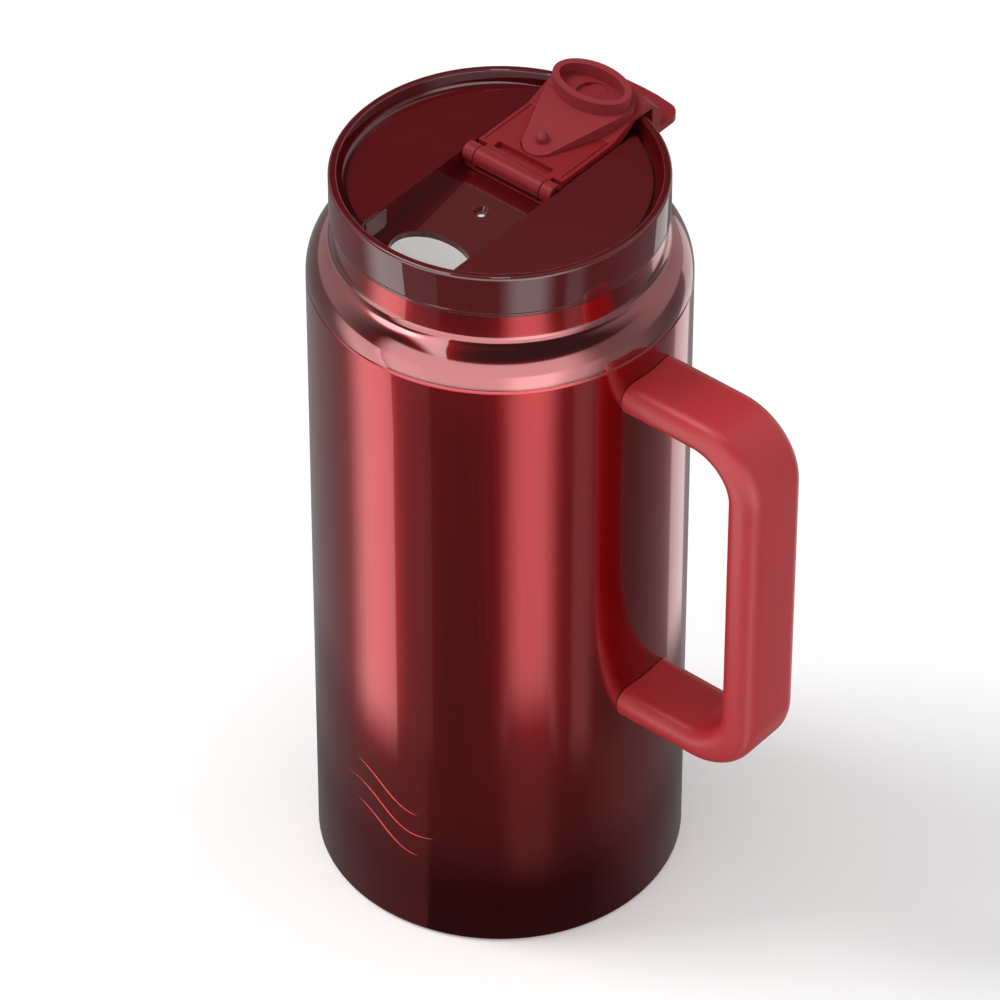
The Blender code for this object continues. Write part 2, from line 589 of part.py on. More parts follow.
def build_flip_cap(mat):
    """Plate, ramp, riser and thumb tab, drawn open; it turns over onto the lid to close."""
    root = HINGE_Y + BARREL_RADIUS + 0.7 * MM
    mirror_y = 2 * HINGE_Y              # the closed rim, seen from the open cap, is centred here
    riser_outer = mirror_y + RISER_RADIUS
    chamfer_end = CREST_Z - (riser_outer - CREST_Y)
    over_rim = LID_TOP + 0.4 * MM
    outline = [(root, PLATE_BOTTOM), (33.0 * MM, PLATE_BOTTOM), (40.5 * MM, over_rim),
               (RISER_INNER, over_rim), (RISER_INNER, PADDLE_BOTTOM), (PADDLE_END, PADDLE_BOTTOM),
               (PADDLE_END, PADDLE_TOP), (riser_outer, PADDLE_TOP), (riser_outer, chamfer_end),
               (CREST_Y, CREST_Z), (RAMP_START, PLATE_TOP), (root, PLATE_TOP)]
    cap = add_object("flip_cap", prism(outline, "X", -CAP_HALF, CAP_HALF), mat)
    far = BODY_RADIUS
    rim_space = turned([(RISER_RADIUS, PADDLE_TOP), (far, PADDLE_TOP), (far, ABOVE_CAP),
                        (CREST_RADIUS, ABOVE_CAP), (CREST_RADIUS, CREST_TRIM_HIGH),
                        (RISER_RADIUS, CREST_TRIM_LOW)])
    bmesh.ops.translate(rim_space, verts=rim_space.verts, vec=(0, mirror_y, 0))
    cut(cap, rim_space, "closed_rim_space")

    corner = 4.5 * MM
    tip = PADDLE_END - 0.9 * MM
    plan = [(-CAP_HALF, 0.0), (CAP_HALF, 0.0)]
    plan += arc(CAP_HALF - corner, tip - corner, corner, corner, 0, 80, 4)
    plan += [(0, PADDLE_END)]
    plan += arc(-CAP_HALF + corner, tip - corner, corner, corner, 100, 180, 4)
    keep(cap, prism(plan, "Z", BELOW_LID, ABOVE_CAP), "cap_plan")

    join(cap, rod("X", (HINGE_Y, HINGE_Z), BARREL_RADIUS, -BARREL_HALF, BARREL_HALF), "barrel")
    join(cap, block(-BARREL_HALF, BARREL_HALF, HINGE_Y, root + MM, PLATE_BOTTOM, PLATE_TOP), "neck")
    cut(cap, block(-9.5 * MM, 9.5 * MM, root + 0.2 * MM, root + 2.6 * MM, PLATE_TOP - 1.3 * MM,
                   PLATE_TOP + MM), "plate_slot")
    cut(cap, rod("X", (HINGE_Y, HINGE_Z), PIN_RADIUS + GAP, -FAR_X, FAR_X, 16), "cap_pin_bore")
    pocket = add_object("pad_pocket", prism(teardrop(GAP), "Z", BELOW_LID, ABOVE_CAP))
    low, high = PLATE_TOP - POCKET_DEPTH, PLATE_TOP + 2 * MM
    keep(pocket, prism([(PAD_START, low), (POCKET_END, low), (POCKET_END + 1.5 * MM, PLATE_TOP + GAP),
                        (POCKET_END + 1.5 * MM, high), (PAD_START, high)], "X", -FAR_X, FAR_X), "pocket_side")
    use_as_helper(cap, pocket, "DIFFERENCE")
    return cap


def pad_height(y):
    return PAD_AT_NUB + PAD_SLOPE * (y - NUB_Y)


def plug_height(y):
    return PLUG_TOP + PLUG_SLOPE * (y - PLUG_Y)


def teardrop(grow=0.0):
    """Outline round the vent nub and the plug."""
    radius = 5.6 * MM + grow
    points = arc(0, NUB_Y, radius, radius, 180, 360, 10)
    points += arc(0, PLUG_Y, PLUG_HALF_X + 1.2 * MM + grow, PLUG_HALF_Y + 0.9 * MM + grow, -90, 270, 28)[:-1]
    return [points[i] for i in convex_hull_2d(points)]


def build_sip_seal(mat):
    """Soft pad with the oval ring that plugs the sip hole and the nub that stops the vent."""
    y0, y1, y2 = PAD_START, POCKET_END + 1.5 * MM, 50.0 * MM
    under = PLATE_TOP - POCKET_DEPTH + GAP
    side = [(y0, under), (POCKET_END - GAP, under), (y1, ramp_height(y1) + GAP), (y2, ramp_height(y2) + GAP),
            (y2, pad_height(y2) + 0.5 * MM), (NUB_Y, PAD_AT_NUB), (y0, pad_height(y0))]
    seal = add_object("sip_seal", prism(teardrop(), "Z", PLATE_BOTTOM, ABOVE_CAP), mat)
    keep(seal, prism(side, "X", -FAR_X, FAR_X), "pad_side")

    outline = oval(PLUG_Y, PLUG_HALF_X, PLUG_HALF_Y)
    ring = add_object("plug_ring", prism(outline, "Z", PLUG_FOOT, ABOVE_CAP))
    low, high = PLUG_Y - 12 * MM, PLUG_Y + 12 * MM
    keep(ring, prism([(low, PLATE_BOTTOM), (high, PLATE_BOTTOM), (high, plug_height(high)),
                      (low, plug_height(low))], "X", -FAR_X, FAR_X), "plug_face")
    cut(ring, block(-FAR_X, FAR_X, CREST_Y - 6 * MM, CREST_Y + 6 * MM, PLATE_BOTTOM, CREST_Z + 0.4 * MM),
        "plug_foot")
    use_as_helper(seal, ring, "UNION")

    recess = oval(PLUG_Y, PLUG_HALF_X - PLUG_WALL, PLUG_HALF_Y - PLUG_WALL)
    cut(seal, prism(recess, "Z", PLUG_FOOT + MM, ABOVE_CAP), "plug_recess")
    cut(seal, rod("Z", (0, PLUG_Y), 4.6 * MM, PLUG_FOOT, PLUG_TOP), "plug_hole")
    nub = [(0, NUB_TOP)]
    nub += arc(0, NUB_TOP - NUB_RADIUS, NUB_RADIUS, NUB_RADIUS, 60, 0, 2)
    nub += [(NUB_RADIUS, PAD_AT_NUB - 0.3 * MM), (0, PAD_AT_NUB - 0.3 * MM)]
    bm = turned(nub, 16)
    bmesh.ops.translate(bm, verts=bm.verts, vec=(0, NUB_Y, 0))
    join(seal, bm, "vent_nub")
    return seal


def place_on_hinge(obj):
    """Move a cap piece's origin onto the hinge axis, leaving its shape in place."""
    for vertex in obj.data.vertices:
        vertex.co.y -= HINGE_Y
        vertex.co.z -= HINGE_Z
    obj.location = (0, HINGE_Y, HINGE_Z)


def build_mug():
    steel = make_material("brushed_steel", (0.62, 0.60, 0.58), 0.30, 1.0)
    red_coat = make_material("red_coated_steel", (0.42, 0.02, 0.03), 0.22, 0.6)
    soft_red = make_material("red_grip", (0.36, 0.03, 0.04), 0.60)
    clear_red = make_material("clear_red_plastic", (0.30, 0.02, 0.03), 0.12, 0.0, 0.5)
    cap_red = make_material("red_plastic", (0.34, 0.03, 0.04), 0.38)
    silicone = make_material("red_silicone", (0.40, 0.06, 0.08), 0.65)
    build_outer_shell(red_coat)
    build_outer_base(steel)
    build_base_cover(steel)
    build_vacuum_seal(steel)
    build_getter(steel)
    build_inner_liner(steel)
    build_liner_bottom(steel)
    build_handle_grip(soft_red)
    build_handle_core(steel)
    for name, arm_low in ARMS:
        build_bracket(f"{name}_bracket", arm_low, steel)
        build_screw(f"{name}_screw", arm_low, steel)
    build_lid_gasket(silicone)
    build_lid_thread_ring(clear_red)
    build_lid_shell(clear_red)
    build_hinge_bracket(cap_red)
    build_hinge_pin(steel)
    for piece in (build_flip_cap(cap_red), build_sip_seal(silicone)):
        place_on_hinge(piece)


clear_scene()
build_mug()
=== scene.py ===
"""Looks of the insulated travel mug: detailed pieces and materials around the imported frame.

Row frame, in metres: +Z is up, +X points to the handle, and +Y runs along the lid
channel towards the tab of the open cap. A turned profile is a list of (radius, height).
"""

from math import acos, atan2, cos, pi, radians, sin, sqrt

import bmesh
import bpy
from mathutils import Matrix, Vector
from mathutils.geometry import convex_hull_2d


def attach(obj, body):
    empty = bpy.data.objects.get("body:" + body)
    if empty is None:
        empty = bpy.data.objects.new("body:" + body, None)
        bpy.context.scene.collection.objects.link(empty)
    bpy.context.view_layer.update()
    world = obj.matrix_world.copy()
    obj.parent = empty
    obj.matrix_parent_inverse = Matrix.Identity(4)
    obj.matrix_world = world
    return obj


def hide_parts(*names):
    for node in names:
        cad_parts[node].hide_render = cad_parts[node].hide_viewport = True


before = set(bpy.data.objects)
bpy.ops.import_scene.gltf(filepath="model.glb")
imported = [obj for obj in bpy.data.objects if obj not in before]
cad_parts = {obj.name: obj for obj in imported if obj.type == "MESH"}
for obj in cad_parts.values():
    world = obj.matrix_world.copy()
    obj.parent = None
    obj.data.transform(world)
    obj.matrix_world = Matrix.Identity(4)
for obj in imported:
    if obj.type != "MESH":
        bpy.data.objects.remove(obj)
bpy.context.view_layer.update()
MM = 0.001
TURN = 192                    # facets of the large turned pieces
OVAL = 96                     # facets of the ovals in the lid and the pad
SHARP = 35                    # degrees: a steeper edge stays sharp in the shading
ON_AXIS = 1e-7                # a profile point closer to the axis than this lies on it


# ---- mesh helpers -------------------------------------------------------------------------


def shade(mesh, sharp=SHARP):
    mesh.shade_smooth()
    mesh.set_sharp_from_angle(angle=radians(sharp))


def finish_mesh(name, bm, mats, sharp=SHARP):
    bmesh.ops.recalc_face_normals(bm, faces=bm.faces)
    mesh = bpy.data.meshes.new(name)
    bm.to_mesh(mesh)
    bm.free()
    shade(mesh, sharp)
    for mat in mats:
        mesh.materials.append(mat)
    obj = bpy.data.objects.new(name, mesh)
    bpy.context.scene.collection.objects.link(obj)
    return obj


def arc(cx, cy, rx, ry, start, stop, steps):
    return [(cx + rx * cos(radians(start + (stop - start) * i / steps)),
             cy + ry * sin(radians(start + (stop - start) * i / steps))) for i in range(steps + 1)]


def oval(cx, cy, rx, ry, count):
    return arc(cx, cy, rx, ry, 0, 360 * (1 - 1 / count), count - 1)


def rounded(points, radii, steps=4):
    """A closed outline with each corner rounded off by its own radius."""
    out = []
    count = len(points)
    for i, (p, r) in enumerate(zip(points, radii)):
        if r <= 0:
            out.append(p)
            continue
        before, after = points[i - 1], points[(i + 1) % count]
        ax, ay = before[0] - p[0], before[1] - p[1]
        bx, by = after[0] - p[0], after[1] - p[1]
        la, lb = sqrt(ax * ax + ay * ay), sqrt(bx * bx + by * by)
        ax, ay, bx, by = ax / la, ay / la, bx / lb, by / lb
        half = acos(max(-1.0, min(1.0, ax * bx + ay * by))) / 2
        mx, my = ax + bx, ay + by
        lm = sqrt(mx * mx + my * my)
        cx, cy = p[0] + mx / lm * r / sin(half), p[1] + my / lm * r / sin(half)
        reach = r * cos(half) / sin(half)
        first = atan2(p[1] + ay * reach - cy, p[0] + ax * reach - cx)
        last = atan2(p[1] + by * reach - cy, p[0] + bx * reach - cx)
        swing = (last - first + pi) % (2 * pi) - pi
        out += [(cx + r * cos(first + swing * k / steps), cy + r * sin(first + swing * k / steps))
                for k in range(steps + 1)]
    return out


def turned(profile, segments=TURN):
    """Spin a closed profile about Z; a point on the axis becomes one vertex."""
    bm = bmesh.new()
    rings = []
    for r, z in profile:
        turns = [2 * pi * k / segments for k in range(segments if r > ON_AXIS else 1)]
        rings.append([bm.verts.new((r * cos(a), r * sin(a), z)) for a in turns])
    for one, two in zip(rings, rings[1:] + rings[:1]):
        if len(one) == len(two) == 1:
            continue
        for k in range(segments):
            j = (k + 1) % segments
            corners = (one[k % len(one)], one[j % len(one)], two[j % len(two)], two[k % len(two)])
            bm.faces.new(list(dict.fromkeys(corners)))
    return bm


def bridged(sections):
    """Skin a row of closed sections and close both ends."""
    bm = bmesh.new()
    rings = [[bm.verts.new(point) for point in section] for section in sections]
    count = len(rings[0])
    for one, two in zip(rings, rings[1:]):
        for k in range(count):
            bm.faces.new((one[k], one[(k + 1) % count], two[(k + 1) % count], two[k]))
    bm.faces.new(rings[0])
    bm.faces.new(rings[-1])
    return bm


def round_axis(section, angle):
    """Stand a (radius, height) section up at an angle round Z."""
    return [(r * cos(angle), r * sin(angle), z) for r, z in section]


def prism(outline, axis, start, stop):
    place = {
        "X": lambda p, t: (t, p[0], p[1]),
        "Y": lambda p, t: (p[0], t, p[1]),
        "Z": lambda p, t: (p[0], p[1], t),
    }[axis]
    bm = bmesh.new()
    low = [bm.verts.new(place(p, start)) for p in outline]
    high = [bm.verts.new(place(p, stop)) for p in outline]
    bm.faces.new(low)
    bm.faces.new(high)
    for i in range(len(outline)):
        j = (i + 1) % len(outline)
        bm.faces.new((low[i], low[j], high[j], high[i]))
    return bm


def block(x0, x1, y0, y1, z0, z1):
    return prism([(x0, y0), (x1, y0), (x1, y1), (x0, y1)], "Z", z0, z1)


def rod(axis, centre, radius, start, stop, segments=64):
    return prism(oval(*centre, radius, radius, segments), axis, start, stop)


def moved(bm, offset):
    bmesh.ops.translate(bm, verts=bm.verts, vec=offset)
    return bm


def combine(target, tool, operation):
    """Join, cut or intersect an object with a mesh or with another object, which is used up."""
    if isinstance(tool, bmesh.types.BMesh):
        tool = finish_mesh("work", tool, [])
    modifier = target.modifiers.new("combine", "BOOLEAN")
    modifier.operation = operation
    modifier.solver = "EXACT"
    modifier.object = tool
    apply_all(target)
    bpy.data.objects.remove(tool, do_unlink=True)


def apply_all(obj):
    depsgraph = bpy.context.evaluated_depsgraph_get()
    mesh = bpy.data.meshes.new_from_object(obj.evaluated_get(depsgraph))
    old = obj.data
    obj.modifiers.clear()
    obj.data = mesh
    bpy.data.meshes.remove(old)


def merge_flats(obj):
    """Merge stray points and flat facets after boolean work."""
    bm = bmesh.new()
    bm.from_mesh(obj.data)
    bmesh.ops.remove_doubles(bm, verts=bm.verts, dist=0.002 * MM)
    bmesh.ops.dissolve_limit(bm, angle_limit=radians(0.5), verts=bm.verts, edges=bm.edges)
    bm.to_mesh(obj.data)
    bm.free()
    shade(obj.data)


def soften(obj, width, angle=30, segments=3):
    """Round off the edges that are steeper than angle."""
    modifier = obj.modifiers.new("soften", "BEVEL")
    modifier.width = width
    modifier.segments = segments
    modifier.limit_method = "ANGLE"
    modifier.angle_limit = radians(angle)
    modifier.use_clamp_overlap = True
    modifier.harden_normals = True
    modifier.miter_outer = "MITER_ARC"
    apply_all(obj)


def rename(obj, name):
    """Applied modifiers leave a mesh with a numbered name, so both are named again."""
    obj.name = name
    obj.data.name = name
    return obj


# ---- node helpers -------------------------------------------------------------------------


def node(owner, kind, **values):
    made = owner.node_tree.nodes.new(kind)
    for key, value in values.items():
        setattr(made, key, value)
    return made


def link(owner, source, target):
    owner.node_tree.links.new(source, target)


def coordinates(owner, output):
    """The x, y and z of a texture coordinate."""
    split = node(owner, "ShaderNodeSeparateXYZ")
    link(owner, node(owner, "ShaderNodeTexCoord").outputs[output], split.inputs["Vector"])
    return split.outputs


class Numbers:
    """Adds number nodes to a material or a world; each call returns an output socket."""

    def __init__(self, owner):
        self.owner = owner

    def math(self, operation, first, second=0.0):
        made = node(self.owner, "ShaderNodeMath", operation=operation)
        for socket, value in zip(made.inputs, (first, second)):
            if isinstance(value, (int, float)):
                socket.default_value = value
            else:
                link(self.owner, value, socket)
        return made.outputs[0]

    def times(self, first, *others):
        for other in others:
            first = self.math("MULTIPLY", first, other)
        return first

    def plus(self, first, *others):
        for other in others:
            first = self.math("ADD", first, other)
        return first

    def dot(self, values, weights):
        return self.plus(*(self.times(value, weight) for value, weight in zip(values, weights)))

    def inverse(self, value):
        return self.math("SUBTRACT", 1.0, value)

    def dimmed(self, value, mask, share):
        """The value, less a share of itself where the mask is 1."""
        return self.times(value, self.inverse(self.times(mask, share)))

    def step(self, value, start, stop, low=0.0, high=1.0):
        """A smooth change from low to high while the value goes from start to stop."""
        made = node(self.owner, "ShaderNodeMapRange", interpolation_type="SMOOTHSTEP")
        for key, number in (("From Min", start), ("From Max", stop), ("To Min", low), ("To Max", high)):
            made.inputs[key].default_value = number
        link(self.owner, value, made.inputs["Value"])
        return made.outputs["Result"]


# ---- materials ----------------------------------------------------------------------------


def principled(name, colour, roughness, metallic=0.0, **sockets):
    mat = bpy.data.materials.new(name)
    mat.use_nodes = True
    shader = shader_of(mat)
    shader.inputs["Base Color"].default_value = (*colour, 1.0)
    shader.inputs["Roughness"].default_value = roughness
    shader.inputs["Metallic"].default_value = metallic
    for socket, value in sockets.items():
        shader.inputs[socket.replace("_", " ")].default_value = value
    return mat


def shader_of(mat):
    return mat.node_tree.nodes["Principled BSDF"]


def stretched_noise(mat, scale, stretch, detail=4.0):
    """Noise in object space, drawn out along the axes with a small stretch."""
    coords = node(mat, "ShaderNodeTexCoord")
    mapping = node(mat, "ShaderNodeMapping")
    mapping.inputs["Scale"].default_value = stretch
    noise = node(mat, "ShaderNodeTexNoise")
    noise.inputs["Scale"].default_value = scale
    noise.inputs["Detail"].default_value = detail
    link(mat, coords.outputs["Object"], mapping.inputs["Vector"])
    link(mat, mapping.outputs["Vector"], noise.inputs["Vector"])
    return noise.outputs["Fac"]


def vary(mat, value, socket, low, high):
    """Let a 0 to 1 value move one of the shader's numbers between two ends."""
    remap = node(mat, "ShaderNodeMapRange")
    remap.inputs["To Min"].default_value = low
    remap.inputs["To Max"].default_value = high
    link(mat, value, remap.inputs["Value"])
    link(mat, remap.outputs["Result"], shader_of(mat).inputs[socket])


def mixed_colour(mat, factor, first, second):
    """From first to second as the factor goes from 0 to 1; each is a colour or an output."""
    mix = node(mat, "ShaderNodeMix", data_type="RGBA")
    inputs = {entry.identifier: entry for entry in mix.inputs}
    outputs = {entry.identifier: entry for entry in mix.outputs}
    link(mat, factor, inputs["Factor_Float"])
    for key, value in (("A_Color", first), ("B_Color", second)):
        if isinstance(value, tuple):
            inputs[key].default_value = (*value, 1.0)
        else:
            link(mat, value, inputs[key])
    return outputs["Result_Color"]


def bump(mat, value, strength, distance):
    made = node(mat, "ShaderNodeBump")
    made.inputs["Strength"].default_value = strength
    made.inputs["Distance"].default_value = distance
    link(mat, value, made.inputs["Height"])
    link(mat, made.outputs["Normal"], shader_of(mat).inputs["Normal"])


def lacquer():
    """Clear red lacquer over brushed steel, with a painted sheen over the shoulder: a band of darker colour
    and stronger coat reflection.
    """
    coat_ior, sheen_band_ior = 1.5, 2.1
    sheen_band_low, sheen_band_high = (209.2 * MM, 210.2 * MM), (224.0 * MM, 222.6 * MM)
    mat = principled("red_lacquer", (0.42, 0.013, 0.018), 0.20, 1.0, Anisotropic=0.3,
                     Coat_Weight=1.0, Coat_Roughness=0.03, Coat_IOR=coat_ior)
    streaks = stretched_noise(mat, 900.0, (1.0, 1.0, 0.02))
    vary(mat, streaks, "Roughness", 0.19, 0.23)
    numbers = Numbers(mat)
    height = coordinates(mat, "Object")["Z"]
    # painted sheen: over the shoulder the coat's index is raised so it reflects more strongly, standing in
    # for the light on the shoulder
    band = numbers.times(numbers.step(height, *sheen_band_low), numbers.step(height, *sheen_band_high))
    vary(mat, band, "Coat IOR", coat_ior, sheen_band_ior)
    colour = mixed_colour(mat, streaks, (0.38, 0.011, 0.016), (0.46, 0.015, 0.020))
    # the painted sheen's darker colour over the shoulder
    colour = mixed_colour(mat, band, colour, (0.27, 0.009, 0.012))
    link(mat, colour, shader_of(mat).inputs["Base Color"])
    tangent = node(mat, "ShaderNodeTangent", direction_type="RADIAL", axis="Z")
    link(mat, tangent.outputs["Tangent"], shader_of(mat).inputs["Tangent"])
    return mat


def steel(name, tint, roughness, spread=0.07):
    """Bare steel with fine streaks, drawn out level."""
    mat = principled(name, tint, roughness, 1.0)
    streaks = stretched_noise(mat, 700.0, (0.02, 0.02, 1.0), 3.0)
    vary(mat, streaks, "Roughness", roughness - spread, roughness + spread)
    return mat


def plastic(name, colour, roughness, grain, depth, **sockets):
    """Plastic or rubber whose shine and colour vary a little; depth is that of its grain."""
    shine, tint, strength = 0.05, 0.08, 0.25
    mat = principled(name, colour, roughness, **sockets)
    noise = stretched_noise(mat, grain, (1.0, 1.0, 1.0))
    vary(mat, noise, "Roughness", roughness - shine, roughness + shine)
    darker, brighter = (tuple(c * (1 + way * tint) for c in colour) for way in (-1, 1))
    link(mat, mixed_colour(mat, noise, darker, brighter), shader_of(mat).inputs["Base Color"])
    if depth:
        bump(mat, noise, strength, depth)
    return mat


GRAIN = 0.02 * MM             # depth of the moulded plastics' grain
RED_LACQUER = lacquer()
STEEL = steel("brushed_steel_look", (0.70, 0.68, 0.66), 0.26)
STEEL_SOFT = steel("liner_steel_look", (0.72, 0.71, 0.70), 0.42, 0.02)
STEEL_DARK = steel("inner_steel_look", (0.45, 0.44, 0.43), 0.35)
LID_RED = plastic("lid_gloss_red", (0.088, 0.004, 0.006), 0.12, 60.0, 0.0,
                  Specular_IOR_Level=0.0, Coat_Weight=1.0, Coat_Roughness=0.02, Coat_IOR=1.8)
CAP_RED = plastic("cap_satin_red", (0.22, 0.011, 0.014), 0.42, 1800.0, GRAIN, Specular_IOR_Level=0.35)
PAD_RED = plastic("pad_silicone_red", (0.24, 0.021, 0.026), 0.50, 1500.0, GRAIN, Specular_IOR_Level=0.35)
GRIP_RED = plastic("grip_matte_red", (0.43, 0.024, 0.031), 0.36, 1400.0, GRAIN, Specular_IOR_Level=0.55)
PATCH = plastic("lug_rose", (0.16, 0.06, 0.06), 0.35, 300.0, 0.0)
FLOOR = principled("floor_pale", (0.80, 0.80, 0.80), 0.9,
                   Emission_Color=(1, 1, 1, 1), Emission_Strength=0.16)


# ---- body ---------------------------------------------------------------------------------

BODY_R, WALL, SHOULDER_Z, NECK_R = 54.0 * MM, 1.0 * MM, 210.0 * MM, 46.7 * MM
SHOULDER_RX, SHOULDER_RZ, SHOULDER_START, SHOULDER_STOP = 11.0 * MM, 12.5 * MM, 3, 62
FILLET_R, FILLET_TURN = 3.0 * MM, 58.8
FOOT_R, FOOT_IN, FOOT_STEP = 1.6 * MM, 50.4 * MM, 0.9 * MM
CREASE, CREASE_R = 0.34 * MM, 1.5 * MM
LIP_TOP, LIP_THICK, GAP = 230.4 * MM, 0.9 * MM, 0.3 * MM
NECK_TOP = LIP_TOP - LIP_THICK - GAP
MARK_TURN, MARK_SLOPE, MARK_SWING, MARK_RATE = radians(-88.0), 0.35, 2.2 * MM, 210.0
MARK_SIZE, MARK_OUT, MARK_TAPER = 0.50 * MM, 0.6, 0.15
MARK_LINES = ((35.0 * MM, 11.0 * MM), (43.0 * MM, 16.0 * MM), (51.0 * MM, 11.0 * MM))


def shoulder(inset):
    """The profile from the foot of the neck down to the wall, moved into the metal by inset."""
    rx, rz = SHOULDER_RX - inset, SHOULDER_RZ - inset
    cx, cz = BODY_R - SHOULDER_RX, SHOULDER_Z - 0.4 * MM
    fillet = FILLET_R + inset
    end_r, end_z = cx + rx * cos(radians(SHOULDER_STOP)), cz + rz * sin(radians(SHOULDER_STOP))
    fillet_r = end_r + fillet * cos(radians(FILLET_TURN))
    fillet_z = end_z + fillet * sin(radians(FILLET_TURN))
    concave = arc(fillet_r, fillet_z, fillet, fillet, 180, 180 + FILLET_TURN, 10)[:-1]
    return concave + arc(cx, cz, rx, rz, SHOULDER_STOP, SHOULDER_START, 20)


def wave_groove(level, half, steps=80):
    """Cutter for one line of the mark: a wave round the wall, tapered at both ends."""
    sections = []
    for i in range(steps + 1):
        along = 2 * i / steps - 1
        u = half * along
        size = MARK_SIZE * max(MARK_TAPER, sqrt(1 - along * along))
        z = level - MARK_SLOPE * u - MARK_SWING * sin(MARK_RATE * u)
        section = oval(BODY_R + MARK_OUT * size, z, size, size, 12)
        sections.append(round_axis(section, MARK_TURN + u / BODY_R))
    return bridged(sections)


def build_body():
    edge = BODY_R - FOOT_R
    foot = arc(edge, FOOT_R, FOOT_R, FOOT_R, 0, -90, 8)
    wall = [(BODY_R, SHOULDER_Z - 20 * MM * k) for k in range(1, 10)]
    crease = [(BODY_R - CREASE, SHOULDER_Z + 0.02 * MM)]
    crease += arc(BODY_R - CREASE_R, SHOULDER_Z - 1.05 * MM, CREASE_R, CREASE_R, 40, 0, 8)
    outline = [(NECK_R, NECK_TOP)] + shoulder(0.0) + crease + wall + foot
    outline += [(FOOT_IN, 0.0), (FOOT_IN, FOOT_STEP), (edge, FOOT_STEP), (BODY_R - WALL, FOOT_R)]
    outline += list(reversed(shoulder(WALL))) + [(NECK_R - WALL, NECK_TOP)]
    body = finish_mesh("body_shell", turned(outline), [RED_LACQUER])
    for level, half in MARK_LINES:
        combine(body, wave_groove(level, half), "DIFFERENCE")
    shade(body.data)
    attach(body, "mug")
    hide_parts("outer_shell")


def build_lip_coat():
    """The lacquer's edge, carried up round the outside of the rolled lip."""
    proud, depth, high = 0.02 * MM, 0.1 * MM, LIP_TOP - 0.1 * MM
    outline = [(NECK_R + proud, NECK_TOP), (NECK_R + proud, high), (NECK_R - depth, high),
               (NECK_R - depth, NECK_TOP)]
    ring = finish_mesh("lip_coat", turned(outline), [RED_LACQUER])
    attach(ring, "mug")


MOUTH_R, LINER_R, LINER_FLOOR, LINER_CORNER, LINER_SEAM = 44.4 * MM, 48.7 * MM, 8.0 * MM, 6.0 * MM, 40.0 * MM
BULGE_Z, BULGE_X, BULGE_RISE = 206.0 * MM, 4.9 * MM, 14.0 * MM
THREAD_CREST, THREAD_LOW, THREAD_LEAD, THREAD_TURN = 43.6 * MM, 223.7 * MM, 6.0 * MM, radians(216)
THREAD_ROOT, THREAD_TOP, THREAD_ROUND = 0.9 * MM, 0.4 * MM, 0.2 * MM


def neck_thread(start_angle, steps=90, fade=6):
    """One start of the neck's inside thread, thinning out at both ends."""
    wall = MOUTH_R + 0.4 * MM
    sections = []
    for i in range(steps + 1):
        turn = THREAD_TURN * i / steps
        z = THREAD_LOW + THREAD_LEAD * THREAD_TURN * i / steps / (2 * pi)
        top = wall + (THREAD_CREST - wall) * max(0.15, min(1.0, i / fade, (steps - i) / fade))
        section = rounded([(wall, -THREAD_ROOT), (top, -THREAD_TOP), (top, THREAD_TOP), (wall, THREAD_ROOT)],
                          [0, THREAD_ROUND, THREAD_ROUND, 0], 3)
        sections.append(round_axis([(r, z + dz) for r, dz in section], start_angle + turn))
    return bridged(sections)


def build_liner():
    outer_neck, lip_low = NECK_R - WALL - GAP, LIP_TOP - LIP_THICK
    lip_out, lip_in, corner = 0.35 * MM, 0.5 * MM, LINER_CORNER
    bulge_r = MOUTH_R - 0.6 * MM
    lip = arc(NECK_R - lip_out, LIP_TOP - lip_out, lip_out, lip_out, 0, 90, 4)
    lip += arc(MOUTH_R + lip_in, LIP_TOP - lip_in, lip_in, lip_in, 90, 180, 5)
    inside = [(MOUTH_R, 221.0 * MM)] + arc(bulge_r, BULGE_Z, BULGE_X, BULGE_RISE, 80, 0, 14)
    inside += arc(LINER_R - corner, LINER_FLOOR + corner, corner, corner, 0, -90, 10)
    inside += [(LINER_SEAM, LINER_FLOOR)]
    outside = [(LINER_SEAM, LINER_FLOOR - WALL)]
    outside += arc(LINER_R - corner, LINER_FLOOR + corner, corner + WALL, corner + WALL, -90, 0, 10)
    outside += arc(bulge_r, BULGE_Z, BULGE_X + WALL, BULGE_RISE + WALL, 0, 74, 14)
    outline = [(NECK_R, lip_low)] + lip + inside + outside + [(outer_neck, 221.4 * MM), (outer_neck, lip_low)]
    liner = finish_mesh("steel_liner", turned(outline), [STEEL_SOFT])
    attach(liner, "mug")
    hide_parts("inner_liner")
    for k in range(2):
        thread = finish_mesh(f"neck_thread_{k + 1}", neck_thread(pi * k + radians(2)), [STEEL_SOFT], 50)
        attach(thread, "mug")


# ---- handle -------------------------------------------------------------------------------

HANDLE_TOP, HANDLE_LOW, HANDLE_X, ARM, GRIP = 201.5 * MM, 78.0 * MM, 100.0 * MM, 10.5 * MM, 11.5 * MM
HANDLE_W, BIG, SMALL, EDGE = 22.8 * MM, 21.0 * MM, 12.0 * MM, 4.9 * MM
HANDLE_START, SCREW_X, SCREW_R, SCREW_DEEP = 45.0 * MM, 60.0 * MM, 3.3 * MM, 2.3 * MM


def handle_path(x, top, low, bend):
    """One side of the square C, from inside the wall at the top to inside it at the bottom."""
    arm = [HANDLE_START + k * 5 * MM for k in range(6)]
    path = [(along, top) for along in arm]
    path += arc(x - bend, top - bend, bend, bend, 90, 0, 20)
    path += [(x, z * MM) for z in (150, 140, 130)]
    path += arc(x - bend, low + bend, bend, bend, 0, -90, 20)
    return path + [(along, low) for along in reversed(arm)]


